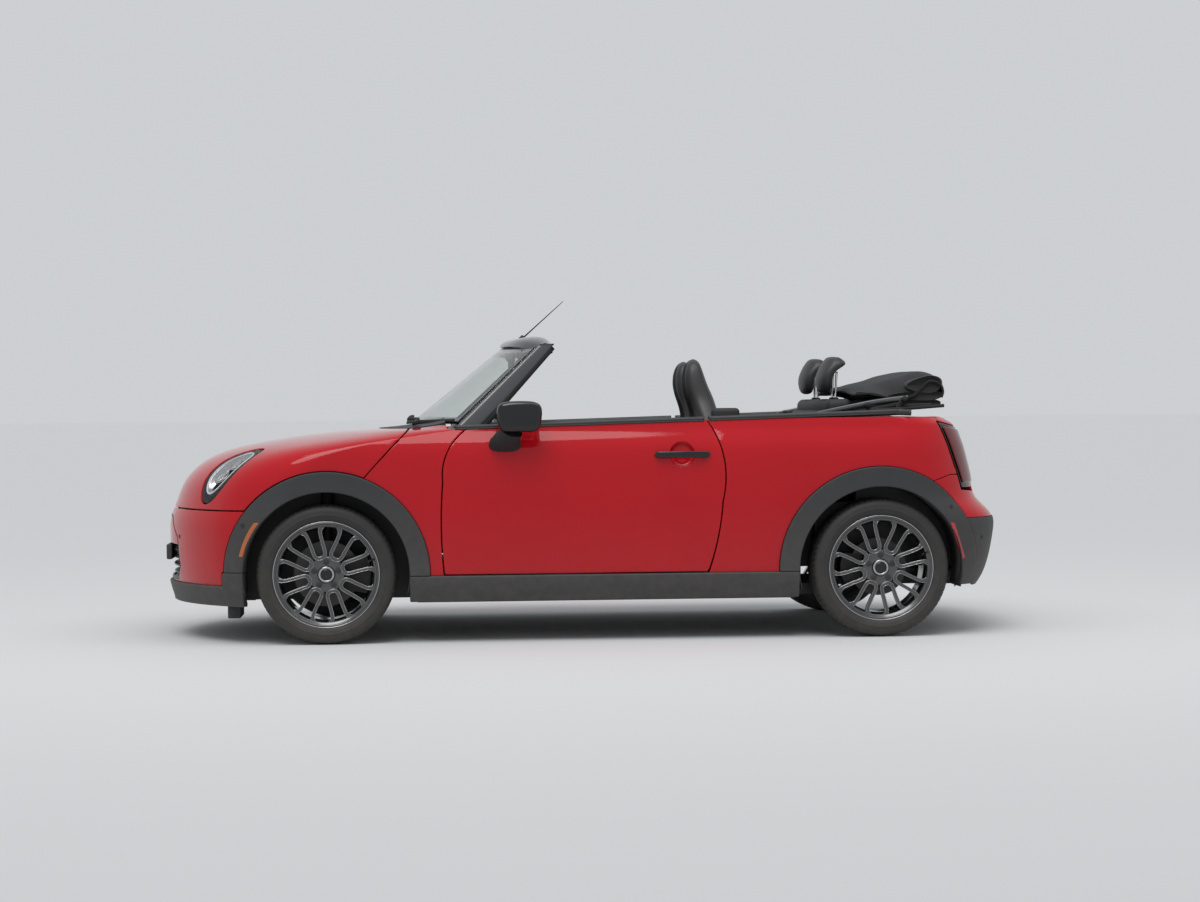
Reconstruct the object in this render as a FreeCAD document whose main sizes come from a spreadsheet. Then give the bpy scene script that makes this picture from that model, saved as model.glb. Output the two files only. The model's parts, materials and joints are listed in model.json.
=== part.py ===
import FreeCAD, Part
import math
import os
import Sketcher
from FreeCAD import Placement, Rotation, Vector

# Small two-door convertible car with its soft top folded down.
# Millimetres.  X points to the tail, Y to the car's right, Z up.
# The origin lies on the ground, midway between the nose and the tail.

doc = FreeCAD.newDocument("convertible")
sheet = doc.addObject("Spreadsheet::Sheet", "Sizes")

SIZES = [
    # overall
    ("front_overhang", 760), ("wheelbase", 2495), ("rear_overhang", 625),
    ("half_width", 857), ("skin", 22), ("seam", 6), ("seat_gap", 0.4),
    # wheels
    ("track", 1500), ("tyre_radius", 312.5), ("tyre_width", 215), ("rim_radius", 233),
    ("bead_radius", 216), ("rim_width", 190), ("hub_radius", 66), ("spoke_pairs", 8),
    ("spoke_width", 11), ("disc_radius", 147), ("disc_thick", 24), ("rear_disc_radius", 130),
    ("arch_radius", 371), ("arch_trim", 91), ("trim_proud", 15), ("arch_drop", 4),
    ("kingpin_lean", 12.5), ("ball_place", 680), ("hat_radius", 86), ("disc_slack", 6),
    ("well_radius", 405), ("rear_well_radius", 385), ("well_inner", 475), ("rear_well_inner", 590),
    # shut lines and levels
    ("bumper_line", 596), ("sill_top", 300), ("underside", 180), ("lip_top", 256),
    ("door_front", 522), ("door_rear", 1783), ("door_bottom", 306), ("door_thick", 118),
    ("belt_front", 958), ("belt_door", 987), ("belt_rear", 1008), ("belt_tail", 986),
    ("valance_top", 532), ("tailgate_half", 560), ("tailgate_low", 622), ("tailgate_high", 952),
    ("tailgate_thick", 62), ("tailgate_slope", 0.8), ("floor_top", 230), ("cabin_half", 732),
    ("bay_half", 455), ("boot_half", 570), ("boot_floor", 330), ("tunnel_half", 100), ("tunnel_top", 275),
    # windscreen
    ("screen_base", 961), ("screen_top", 1334), ("screen_foot", 345), ("screen_rake", 461),
    ("pillar_foot", 584), ("pillar_reach", 384), ("foot_half", 700), ("head_half", 600),
    ("glass_thick", 5),
    # lamps
    ("lamp_length", 330), ("lamp_height", 190), ("lamp_gap", 6), ("lamp_depth", 120),
    # grille and exhaust
    ("grille_inset", 34), ("grille_thick", 13.7), ("slat_front", 14), ("slat_depth", 26), ("slat_tall", 14),
    ("plate_half", 175), ("plate_low", 352), ("plate_tall", 72), ("pipe_radius", 27), ("outlet_radius", 30),
    ("outlet_place", 250), ("outlet_height", 248),
    # cabin
    ("seat_place", 370), ("seat_width", 510), ("wheel_tilt", 24), ("hoop_radius", 182),
    ("hoop_thick", 15),
    # soft top
    ("top_half", 560),
]
for row, (alias, value) in enumerate(SIZES, 1):
    sheet.set("A%d" % row, alias)
    sheet.set("B%d" % row, str(value))
    sheet.setAlias("B%d" % row, alias)
doc.recompute()


def size(alias):
    return float(sheet.get(alias))


length = size("front_overhang") + size("wheelbase") + size("rear_overhang")
front_axle = size("front_overhang") - length / 2
rear_axle = front_axle + size("wheelbase")
nose = front_axle - size("front_overhang")
tail = rear_axle + size("rear_overhang")
half = size("half_width")
skin = size("skin")
gap = size("seat_gap")
seam = size("seam")
wheel_z = size("tyre_radius")
wheel_y = size("track") / 2
arch_z = wheel_z - size("arch_drop")

# Level outlines of the body, from the underside up.  Nose and tail give how far the end lies
# behind the foremost or rearmost point, reach how far back its corner arc is centred, corner
# that arc's radius, and tuck how far the side lies inside the half width.
LEVELS = [
    # z, nose, reach, corner, tuck, tail, reach, corner
    (180, 32, 560, 380, 57, 97, 420, 300),
    (250, 12, 560, 390, 22, 57, 430, 300),
    (350, 2, 560, 400, 9, 22, 430, 300),
    (460, 0, 560, 400, 4, 0, 430, 300),
    (540, 3, 560, 400, 1, 7, 430, 300),
    (620, 30, 560, 400, 0, 77, 405, 285),
    (700, 62, 560, 400, 1, 98, 395, 278),
    (780, 125, 560, 400, 4, 115, 385, 268),
    (850, 245, 560, 400, 12, 133, 375, 262),
    (895, 417, 560, 400, 27, 148, 365, 250),
    (930, 647, 560, 400, 45, 162, 355, 240),
    (950, 857, 500, 380, 55, 174, 350, 232),
    (970, 1110, 400, 350, 62, 198, 345, 226),
    (1012, 1230, 400, 350, 77, 268, 335, 215),
]


def rounded_end(x_end, reach, corner, side, way):
    """Points where an end's wide arc meets its corner arc, the corner's middle and its end."""
    wide = (reach ** 2 + side ** 2 - 2 * side * corner) / (2 * (reach - corner))
    kx = x_end + way * reach
    ky = side - corner
    ux = kx - (x_end + way * wide)
    span = math.hypot(ux, ky)
    ux, uy = ux / span, ky / span
    meet = (x_end + way * wide + wide * ux, wide * uy)
    bend = math.hypot(ux, uy + 1)
    middle = (kx + corner * ux / bend, ky + corner * (uy + 1) / bend)
    return meet, middle, (kx, side)


def level_outline(level, inset):
    z, nose_back, nose_reach, nose_corner, tuck, tail_back, tail_reach, tail_corner = level
    side = half - tuck - inset
    x_nose = nose + nose_back + inset
    x_tail = tail - tail_back - inset
    z = z - inset
    f_meet, f_mid, f_end = rounded_end(x_nose, nose_reach, nose_corner, side, 1)
    r_meet, r_mid, r_end = rounded_end(x_tail, tail_reach, tail_corner, side, -1)

    def at(place, sign=1):
        return Vector(place[0], sign * place[1], z)

    return Part.Wire([
        Part.Arc(at(f_meet, -1), Vector(x_nose, 0, z), at(f_meet)).toShape(),
        Part.Arc(at(f_meet), at(f_mid), at(f_end)).toShape(),
        Part.LineSegment(at(f_end), at(r_end)).toShape(),
        Part.Arc(at(r_end), at(r_mid), at(r_meet)).toShape(),
        Part.Arc(at(r_meet), Vector(x_tail, 0, z), at(r_meet, -1)).toShape(),
        Part.Arc(at(r_meet, -1), at(r_mid, -1), at(r_end, -1)).toShape(),
        Part.LineSegment(at(r_end, -1), at(f_end, -1)).toShape(),
        Part.Arc(at(f_end, -1), at(f_mid, -1), at(f_meet, -1)).toShape(),
    ])


hulls = {}


def hull(inset):
    """The body's closed outer form, set in from the paint by a distance, or out if negative."""
    if inset not in hulls:
        hulls[inset] = Part.makeLoft([level_outline(level, inset) for level in LEVELS], True, False)
    return hulls[inset]


def block(x0, x1, y0, y1, z0, z1):
    return Part.makeBox(x1 - x0, y1 - y0, z1 - z0, Vector(x0, y0, z0))


def outline(points, place):
    """Closed wire; a point of four numbers is an arc's middle and end."""
    edges = []
    start = points[0]
    closing = [] if points[-1][-2:] == points[0] else [points[0]]
    for point in points[1:] + closing:
        begin = place(*start[-2:])
        if len(point) == 4:
            edges.append(Part.Arc(begin, place(*point[:2]), place(*point[2:])).toShape())
        else:
            edges.append(Part.LineSegment(begin, place(*point)).toShape())
        start = point
    return Part.Wire(edges)


def side_prism(points, y0, y1):
    """A side-view outline of X and Z pairs, extruded across the car."""
    wire = outline(points, lambda x, z: Vector(x, y0, z))
    return Part.Face(wire).extrude(Vector(0, y1 - y0, 0))


def plan_prism(points, z0, z1):
    wire = outline(points, lambda x, y: Vector(x, y, z0))
    return Part.Face(wire).extrude(Vector(0, 0, z1 - z0))


def front_prism(points, x0, x1):
    wire = outline(points, lambda y, z: Vector(x0, y, z))
    return Part.Face(wire).extrude(Vector(x1 - x0, 0, 0))


def cross_rod(radius, x, z, y0, y1):
    return Part.makeCylinder(radius, y1 - y0, Vector(x, y0, z), Vector(0, 1, 0))


def mirrored(shape):
    return shape.mirror(Vector(0, 0, 0), Vector(0, 1, 0))


def fused(shapes):
    return shapes[0].multiFuse(shapes[1:]).removeSplitter()


def add(label, shape):
    """A sub-part whose shape is set by code, because its faces follow the body's loft."""
    piece = doc.addObject("Part::Feature", label)
    piece.Label = label
    piece.Shape = shape
    PARTS.append(piece)
    return piece


def add_both(label, left):
    """Two like pieces, one on each side, as one sub-part."""
    add(label, Part.makeCompound([left, mirrored(left)]))


def add_pair(stem, left):
    """The left-hand sub-part and its mirror image."""
    add(stem + "_left", left)
    twin = doc.addObject("Part::Mirroring", stem + "_right")
    twin.Source = doc.getObject(stem + "_left")
    twin.Normal = (0, 1, 0)
    twin.Label = stem + "_right"
    PARTS.append(twin)


PARTS = []
wide = half + 150

# shut lines, as prisms across the car
door_x0 = front_axle + size("door_front")
door_x1 = front_axle + size("door_rear")


def door_outline(grow):
    """Door edge in side view: curved front edge, rear edge leaning to the tail at mid height."""
    low = size("door_bottom") - grow
    return [
        (door_x0 - grow + 6, low),
        (door_x0 - grow - 6, 520, door_x0 - grow + 2, 720),
        (door_x0 - grow + 22, 850, door_x0 - grow + 98, 945),
        (door_x0 - grow + 160, 1030),
        (door_x1 + grow - 95, 1030),
        (door_x1 + grow - 70, 985),
        (door_x1 + grow + 3, 790, door_x1 + grow - 8, 620),
        (door_x1 + grow - 30, 460, door_x1 + grow - 74, low),
    ]


belt_x = front_axle + size("pillar_foot") - 40
belt_points = [
    (belt_x, size("belt_front")),
    (door_x1 - 70, size("belt_door")), (rear_axle + 105, size("belt_rear")),
    (rear_axle + 240, size("belt_rear") - 5, tail - 300, size("belt_tail")),
    (tail + 50, size("belt_tail")), (tail + 50, 1300), (belt_x - 90, 1300),
]
above_belt = side_prism(belt_points, -wide, wide)

arch_outer = size("arch_radius") + size("arch_trim")


def arch_cut(x, radius, y0, y1):
    """Wheel opening: a half round above the axle and straight sides down to the ground."""
    rod = cross_rod(radius, x, arch_z, y0, y1)
    return rod.fuse(block(x - radius, x + radius, y0, y1, 0, arch_z))


outer = hull(0)
inner = hull(skin)
shell = outer.cut(inner).cut(above_belt)
trim_line = arch_outer + 1
for axle in (front_axle, rear_axle):
    shell = shell.cut(arch_cut(axle, trim_line, -wide, wide))
left_half = block(nose - 50, tail + 50, -wide, -seam / 2, 0, 1400)

# bonnet, which wraps round to the arches and back to a slanting line on each wing
bonnet_top = [
    (front_axle + 225, 0), (front_axle + 260, 330, front_axle + 376, 620),
    (front_axle + 480, 900), (nose - 60, 900), (nose - 60, -900), (front_axle + 480, -900),
    (front_axle + 376, -620), (front_axle + 260, -330, front_axle + 225, 0),
]


def bonnet_side(grow):
    line = size("bumper_line") + seam - grow
    return [
        (nose - 60, line), (front_axle, line), (front_axle + 50, 600),
        (front_axle + 171 + grow, 746), (front_axle + 356 + grow, 944),
        (front_axle + 470 + grow, 1080), (nose - 60, 1080),
    ]


bonnet_zone = side_prism(bonnet_side(0), -wide, wide).common(plan_prism(bonnet_top, 500, 1100))
bonnet_hole = side_prism(bonnet_side(seam), -wide, wide)
bonnet = shell.common(bonnet_zone).cut(arch_cut(front_axle, trim_line + seam, -wide, wide))

# headlamps, oval in the bonnet's corners
lamp_aim = Vector(front_axle - 432, -590, 766)
reach, spots, found = outer.Shells[0].distToShape(Part.Vertex(lamp_aim))
lamp_centre = spots[0][0]
lamp_axis = outer.Shells[0].Faces[found[0][1]].normalAt(*found[0][2])
lamp_long = Vector(0.66, 0, 0.73)
lamp_long = (lamp_long - lamp_axis * lamp_long.dot(lamp_axis)).normalize()
lamp_turn = Rotation(lamp_long, lamp_axis.cross(lamp_long), lamp_axis, "ZXY")


def oval(grow, along):
    middle = lamp_centre + lamp_axis * along
    ring = Part.Ellipse(Vector(0, 0, 0), size("lamp_length") / 2 + grow, size("lamp_height") / 2 + grow)
    wire = Part.Wire(ring.toShape())
    wire.Placement = Placement(middle, lamp_turn)
    return wire


def oval_block(grow_in, grow_out, start, end):
    return Part.makeLoft([oval(grow_in, start), oval(grow_out, end)], True, True)


lamp_gap = size("lamp_gap")
lamp_depth = size("lamp_depth")
lamp_hole = oval_block(lamp_gap + 40, lamp_gap, -lamp_depth - gap, 12)
lamp_hole = lamp_hole.fuse(oval_block(lamp_gap, lamp_gap, 12, 140))
bonnet = bonnet.cut(lamp_hole).cut(mirrored(lamp_hole))
add("bonnet", bonnet)
lamp_body = oval_block(-30, 0, -lamp_depth, 0).fuse(oval_block(0, -6, 0, 120)).common(hull(5))
add_both("headlamps", lamp_body)


# front wings, between the bonnet's slanting line and the door
door_hole = side_prism(door_outline(seam), -wide, wide)
sill_line = size("sill_top")
wing_zone = block(front_axle - 20, door_x0 + 140, -wide, -520, sill_line, 1100)
wing = shell.common(wing_zone).cut(bonnet_hole).cut(door_hole)
wing = wing.cut(plan_prism([(front_axle - 100, -640), (front_axle + 376, -640), (door_x0 + 30, -700),
                            (door_x0 + 200, -700), (door_x0 + 200, 0), (front_axle - 100, 0)], 850, 1100))
add_both("wings", wing)

# quarter panels, from the door to the tail lamp, with the bumper's line below
lamp_edge = [
    (tail - 331, 972), (tail - 290, 880, tail - 262, 800), (tail - 236, 735, tail - 214, 662),
    (tail - 60, 640), (tail - 60, 930), (tail - 254, 951),
]
lamp_inner_edge = size("tailgate_half") + seam


def bumper_edge(grow):
    return [
        (rear_axle + 250, 700 + grow), (rear_axle + 334, 727 + grow), (tail + 60, 727 + grow),
        (tail + 60, 100), (rear_axle + 250, 100),
    ]


lamp_prism = side_prism(lamp_edge, -wide, -lamp_inner_edge)
quarter_zone = block(door_x1 - 100, tail - 40, -wide, -600, sill_line, 1100)


def tailgate_zone(grow):
    """The tailgate's span; its top edge rises rearwards, so that it swings clear of the deck."""
    low = size("tailgate_low") - grow
    high = size("tailgate_high") + grow * 1.2
    rise = size("tailgate_slope")
    return side_prism([(tail - 420, low), (tail + 50, low), (tail + 50, high + 225 * rise),
                       (tail - 420, high - 245 * rise)],
                      -size("tailgate_half") - grow, size("tailgate_half") + grow)


tailgate_hole = tailgate_zone(seam)
quarter = shell.common(quarter_zone).cut(door_hole).cut(side_prism(bumper_edge(3), -wide, wide))
quarter = quarter.cut(side_prism(lamp_edge, -wide, wide))
add_both("quarter_panels", quarter)
lamp_span = block(tail - 500, tail + 60, -wide, -lamp_inner_edge, 668, 1100)
tail_lamp = hull(-4).cut(inner).common(lamp_prism).common(lamp_span).cut(above_belt)
lamp_space = side_prism(lamp_edge, -wide, -lamp_inner_edge + seam).common(
    block(tail - 500, tail + 60, -wide, 0, 665, 1100))
add_both("tail_lamps", tail_lamp)

# bumpers
front_zone = block(nose - 50, front_axle - 200, -wide, wide, size("lip_top"), size("bumper_line"))
bumper = shell.common(front_zone)
grille_outline = [
    (-300, 560), (-470, 470), (-500, 330), (-430, 268), (430, 268), (500, 330), (470, 470), (300, 560),
]
bumper = bumper.cut(front_prism(grille_outline, nose - 60, nose + 260))
lower_side = block(front_axle - 470, front_axle - 200, -wide, wide, 0, 323)
bumper = bumper.cut(lower_side)
band_outline = [(-520, 432), (520, 432), (520, 548), (-520, 548)]
band = shell.common(front_prism(band_outline, nose - 60, nose + 260))
add("front_bumper", bumper.fuse(band))

proud = hull(-size("trim_proud"))
trim_shell = proud.cut(inner)
lip_zone = block(nose - 60, front_axle - 200, -wide, wide, size("underside") - 20, size("lip_top") - 0.5)
lip = trim_shell.common(lip_zone.fuse(block(front_axle - 470, front_axle - 200, -wide, wide, 170, 321)))
lip = lip.cut(arch_cut(front_axle, size("arch_radius"), -wide, wide))
add("front_lip", lip)
rear_zone = block(rear_axle + 200, tail + 60, -wide, wide, size("valance_top"), 726)
rear_bumper = shell.common(rear_zone).cut(tailgate_hole)
rear_bumper = rear_bumper.common(side_prism(bumper_edge(-3), -wide, wide)).cut(lamp_space).cut(
    mirrored(lamp_space))
add("rear_bumper", rear_bumper)
valance_zone = block(rear_axle + 200, tail + 60, -wide, wide, size("underside"), size("valance_top") - 1)
valance = hull(-3).cut(inner).common(valance_zone).cut(arch_cut(rear_axle, trim_line, -wide, wide))
outlet_y = size("outlet_place")
outlet_z = size("outlet_height")
tail_pipe = Part.makeCylinder(size("outlet_radius") + 7, 300, Vector(tail - 250, outlet_y, outlet_z),
                              Vector(1, 0, 0))
valance = max(valance.cut(tail_pipe).Solids, key=lambda solid: solid.Volume)
add("rear_valance", valance)

# wheel arch trims and sill trims, standing proud of the skin
def arch_ring(axle, low_front, low_rear):
    ring = cross_rod(arch_outer, axle, arch_z, -wide, -560)
    ring = ring.cut(cross_rod(size("arch_radius"), axle, arch_z, -wide, -560))
    ring = ring.cut(block(axle - 600, axle, -wide, 0, 0, low_front))
    ring = ring.cut(block(axle, axle + 600, -wide, 0, 0, low_rear))
    return trim_shell.common(ring)


add_both("front_arch_trims", arch_ring(front_axle, 322, sill_line + 1))
add_both("rear_arch_trims", arch_ring(rear_axle, sill_line + 1, 300))
sill_zone = block(front_axle + 200, rear_axle - 200, -wide, -700, size("underside"), sill_line)
sill = trim_shell.common(sill_zone).cut(arch_cut(front_axle, size("arch_radius"), -wide, wide))
sill = sill.cut(arch_cut(rear_axle, size("arch_radius"), -wide, wide))
add_both("sill_trims", sill)

# doors, each as thick as the whole door, with a stepped inner part
door_step = 14
door_skin = outer.cut(inner).cut(above_belt).common(side_prism(door_outline(0), -wide, -500))
door_case = hull(skin - 1).cut(above_belt)
door_case = door_case.common(side_prism(door_outline(-door_step), -wide, -size("cabin_half")))
door = door_skin.fuse(door_case)

# tailgate
tailgate = outer.cut(hull(size("tailgate_thick"))).common(tailgate_zone(0))
add("tailgate", tailgate)

# rear deck behind the seats, under the folded top
deck = shell.common(block(rear_axle - 60, tail + 50, -599, 599, 900, 1100)).cut(tailgate_hole)
deck = deck.cut(lamp_space).cut(mirrored(lamp_space))
add("rear_deck", deck)

# body tub with floor, sills, firewall, wheel houses, cabin, engine bay and boot
tub = hull(skin + gap).cut(above_belt)
cabin = size("cabin_half")
bay = size("bay_half")
boot = size("boot_half")
floor = size("floor_top")
cavities = [
    block(front_axle + 480, rear_axle - 260, -cabin, cabin, sill_line, 1200),
    block(front_axle + 480, rear_axle - 260, size("tunnel_half") + 25, 610, floor, 1200),
    block(front_axle + 480, rear_axle - 260, -610, -size("tunnel_half") - 25, floor, 1200),
    block(rear_axle - 262, rear_axle - 70, -640, 640, 600, 1200),
    block(nose + 95, front_axle + 430, -bay, bay, 215, 1200),
    block(nose + 160, front_axle + 400, -700, 700, 745, 1200),
    block(rear_axle - 160, tail - 90, -boot, boot, size("boot_floor"), 560),
    block(rear_axle - 30, tail - 90, -boot, boot, 559, 965),
    block(rear_axle - 30, tail - 230, -690, 690, 735, 965),
    block(front_axle + 290, rear_axle - 260, -size("tunnel_half"), size("tunnel_half"), 0,
          size("tunnel_top")),
    block(nose - 100, tail + 100, -wide, wide, 100, size("underside")),
    block(rear_axle - 262, tail + 50, -size("rear_well_inner") - 1, size("rear_well_inner") + 1, 0,
          size("boot_floor") - 25),
    block(front_axle - 300, front_axle + 300, -bay, bay, 0, 216),
    block(front_axle - 60, front_axle + 210, -bay - 40, bay + 40, 0, 240),
]
for axle, radius, inside in ((front_axle, size("well_radius"), size("well_inner")),
                             (rear_axle, size("rear_well_radius"), size("rear_well_inner"))):
    well = arch_cut(axle, radius, -wide, -inside)
    cavities += [well, mirrored(well)]
tub_door = side_prism(door_outline(seam), -wide, -cabin + 1)
cavities += [tub_door, mirrored(tub_door)]
tailgate_back = hull(size("tailgate_thick") + seam).common(block(0, tail, -wide, wide, 600, 960))
cavities.append(tailgate_hole.cut(tailgate_back))
cavities.append(front_prism(grille_outline, nose - 60, nose + 260).cut(hull(48)))
cavities += [lamp_hole, mirrored(lamp_hole)]
for cavity in cavities:
    tub = tub.cut(cavity)
tub = tub.cut(bonnet_hole.cut(hull(skin + seam)))
add("body_tub", tub)


# windscreen frame: level sections from foot to head, each a bow with a pillar at each end
screen_x0 = front_axle + size("screen_foot")
screen_base = size("screen_base")
screen_rise = size("screen_top") - screen_base


def screen_bow(share, set_in):
    """Level section of the screen at a share of its height: centre, pillar and half width."""
    z = screen_base + share * screen_rise
    centre = screen_x0 + share * size("screen_rake") + set_in
    side_x = front_axle + size("pillar_foot") + share * size("pillar_reach") + set_in
    side = size("foot_half") + share * (size("head_half") - size("foot_half")) - set_in * 0.35
    return z, centre, side_x, side


def screen_section(share):
    z, centre, side_x, side = screen_bow(share, 0)
    rear_x = side_x + 127 - 70 * share
    middle = Vector(centre + 50, 0, z)
    return Part.Wire([
        Part.Arc(Vector(side_x, -side, z), Vector(centre, 0, z), Vector(side_x, side, z)).toShape(),
        Part.LineSegment(Vector(side_x, side, z), Vector(rear_x, side - 4, z)).toShape(),
        Part.LineSegment(Vector(rear_x, side - 4, z), Vector(rear_x, side - 48, z)).toShape(),
        Part.Arc(Vector(rear_x, side - 48, z), middle, Vector(rear_x, 48 - side, z)).toShape(),
        Part.LineSegment(Vector(rear_x, 48 - side, z), Vector(rear_x, 4 - side, z)).toShape(),
        Part.LineSegment(Vector(rear_x, 4 - side, z), Vector(side_x, -side, z)).toShape(),
    ])


screen_solid = Part.makeLoft([screen_section(-0.04), screen_section(0.5), screen_section(1)], True, True)


def glass_section(share, front, back):
    z, centre, side_x, side = screen_bow(share, front)
    return Part.Wire([
        Part.Arc(Vector(side_x, -side, z), Vector(centre, 0, z), Vector(side_x, side, z)).toShape(),
        Part.LineSegment(Vector(side_x, side, z), Vector(side_x + back - front, side - 2, z)).toShape(),
        Part.Arc(Vector(side_x + back - front, side - 2, z), Vector(centre + back - front, 0, z),
                 Vector(side_x + back - front, 2 - side, z)).toShape(),
        Part.LineSegment(Vector(side_x + back - front, 2 - side, z), Vector(side_x, -side, z)).toShape(),
    ])


def screen_window(grow):
    foot = size("foot_half") - 42 + grow
    head = size("head_half") - 48 + grow
    low = screen_base + 34 - grow
    high = size("screen_top") - 18 + grow
    window = [
        (-foot + 30, low), (foot - 30, low), (foot - 8, low + 8, foot - 4, low + 30), (head, high - 30),
        (head - 8, high - 8, head - 30, high), (-head + 30, high), (-head + 8, high - 8, -head, high - 30),
        (-foot + 4, low + 30), (-foot + 8, low + 8, -foot + 30, low),
    ]
    return front_prism(window, screen_x0 - 100, screen_x0 + 640)


# the header rail over the glass, with its rounded front and the roof's landing behind
def header_section(y, front, rear, low, high):
    deep = rear - front
    tall = high - low
    return outline([
        (front, low + 0.3 * tall),
        (front + 0.08 * deep, high - 0.3 * tall, front + 0.26 * deep, high - 0.1 * tall),
        (front + 0.56 * deep, high, rear - 0.14 * deep, high - 0.16 * tall), (rear, low + 0.42 * tall),
        (rear - 0.04 * deep, low + 0.04 * tall), (rear - 0.3 * deep, low),
    ], lambda x, z: Vector(x, y, z))


head_y = size("head_half")
head_x = screen_x0 + size("screen_rake")
head_z = size("screen_top")
HEADER = [
    # share of the half width, front, rear, low, high
    (-1, 160, 216, -36, 8), (-0.82, 96, 224, -26, 34), (-0.42, 24, 222, -14, 44), (0, 0, 220, -12, 46),
    (0.42, 24, 222, -14, 44), (0.82, 96, 224, -26, 34), (1, 160, 216, -36, 8),
]
header_wires = [header_section(share * head_y, head_x + front, head_x + rear, head_z + low, head_z + high)
                for share, front, rear, low, high in HEADER]
header = Part.makeLoft(header_wires, True, False)
body_form = hull(-gap).cut(above_belt.translated(Vector(0, 0, gap)))
screen_frame = screen_solid.cut(screen_window(0)).fuse(header).cut(body_form)
add("screen_frame", max(screen_frame.Solids, key=lambda solid: solid.Volume))
glass = Part.makeLoft([glass_section(-0.04, 12, 12 + size("glass_thick")),
                       glass_section(1, 12, 12 + size("glass_thick"))], True, True)
glass = glass.common(screen_window(-0.3)).cut(header).cut(body_form)
add("screen_glass", glass)

# cowl between bonnet and glass, with the wipers' spindles
cowl_zone = block(front_axle + 200, front_axle + 640, -640, 640, 900, 1012)
cowl_edge = front_axle + seam
cowl_front = plan_prism([
    (cowl_edge + 225, 0), (cowl_edge + 260, 330, cowl_edge + 376, 620), (front_axle + 476, 640),
    (front_axle - 100, 660), (front_axle - 100, -660), (front_axle + 476, -640), (cowl_edge + 376, -620),
    (cowl_edge + 260, -330, cowl_edge + 225, 0)], 800, 1100)
cowl = outer.cut(inner).common(cowl_zone).cut(plan_prism(bonnet_top, 800, 1100)).cut(cowl_front)
cowl = cowl.cut(Part.makeLoft([screen_section(-0.14), screen_section(0.2)], True, True))
cowl = cowl.cut(above_belt.common(block(front_axle + 480, tail, -wide, wide, 900, 1100)))
add("cowl", max(cowl.Solids, key=lambda solid: solid.Volume))

# dashboard with its binnacle and the column behind the wheel
dash_x = front_axle + 500
dash = side_prism([(dash_x, 690), (dash_x, 900), (dash_x + 80, 950, dash_x + 180, 952),
                   (dash_x + 262, 946, dash_x + 270, 900), (dash_x + 240, 800, dash_x + 190, 700),
                   (dash_x + 150, 640), (dash_x + 40, 640)], -cabin + 40, cabin - 40)
wheel_x = front_axle + 860
wheel_height = 905
seat_y = size("seat_place")
tilt = math.radians(size("wheel_tilt"))
column_way = Vector(-math.cos(tilt), 0, -math.sin(tilt))
hub = Vector(wheel_x, -seat_y, wheel_height)
column = Part.makeCylinder(38, 130, hub + column_way * 34, column_way)
binnacle = Part.makeCylinder(92, 70, Vector(dash_x + 185, -seat_y, 935), Vector(1, 0, 0.1))
dash = dash.fuse(column).fuse(binnacle)
dash = dash.cut(screen_solid)
console_end = rear_axle - 700
console = side_prism([(dash_x + 120, sill_line + gap), (console_end, sill_line + gap), (console_end, 470),
                      (dash_x + 420, 520), (dash_x + 200, 660), (dash_x + 120, 660)], -95, 95)
add("dashboard", dash.fuse(console))

# steering wheel
hoop = doc.addObject("Part::Torus", "hoop")
hoop.setExpression("Radius1", "Sizes.hoop_radius")
hoop.setExpression("Radius2", "Sizes.hoop_thick")
boss = doc.addObject("Part::Cylinder", "boss")
boss.Radius = 62
boss.Height = 40
boss.Placement = Placement(Vector(0, 0, -28), Rotation())
arms = []
for turn in (0, 180, 270):
    arm = doc.addObject("Part::Box", "arm")
    arm.setExpression("Length", "Sizes.hoop_radius")
    arm.Width = 40
    arm.Height = 16
    arm.Placement = Placement(Vector(0, 0, 0), Rotation(Vector(0, 0, 1), turn), Vector(0, 0, 0)).multiply(
        Placement(Vector(0, -20, -16), Rotation()))
    arms.append(arm)
steering = doc.addObject("Part::MultiFuse", "steering_wheel")
steering.Shapes = [hoop, boss] + arms
steering.Label = "steering_wheel"
steering.Placement = Placement(hub, Rotation(Vector(0, 1, 0), 90 - size("wheel_tilt")))
PARTS.append(steering)


# front seats: cushion, back with bolsters and a headrest in one with it
def front_seat():
    x = front_axle + 1240
    width = size("seat_width") / 2
    back_half = width - 20
    cushion = side_prism([(x, 330), (x - 10, 440), (x + 30, 486), (x + 250, 476, x + 470, 452),
                          (x + 520, 400), (x + 520, 330)], -width, width)
    back = side_prism([(x + 420, 400), (x + 400, 470), (x + 452, 760, x + 478, 1020), (x + 580, 1040),
                       (x + 600, 900, x + 560, 430), (x + 540, 380)], -back_half, back_half)
    head = side_prism([(x + 420, 1040), (x + 398, 1100, x + 405, 1172), (x + 420, 1260, x + 453, 1269),
                       (x + 505, 1260, x + 508, 1147), (x + 540, 1060, x + 550, 1020),
                       (x + 480, 960)], -135, 135)
    cushion = cushion.makeFillet(30, cushion.Edges)
    back = back.makeFillet(26, back.Edges)
    head = head.makeFillet(22, head.Edges)
    rail = [block(x + 30, x + 480, side * 180 - 20, side * 180 + 20, floor, 345) for side in (-1, 1)]
    seat = fused([cushion, back, head] + rail)
    seat.translate(Vector(0, -seat_y, 0))
    return seat


add_both("front_seats", front_seat())

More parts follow.
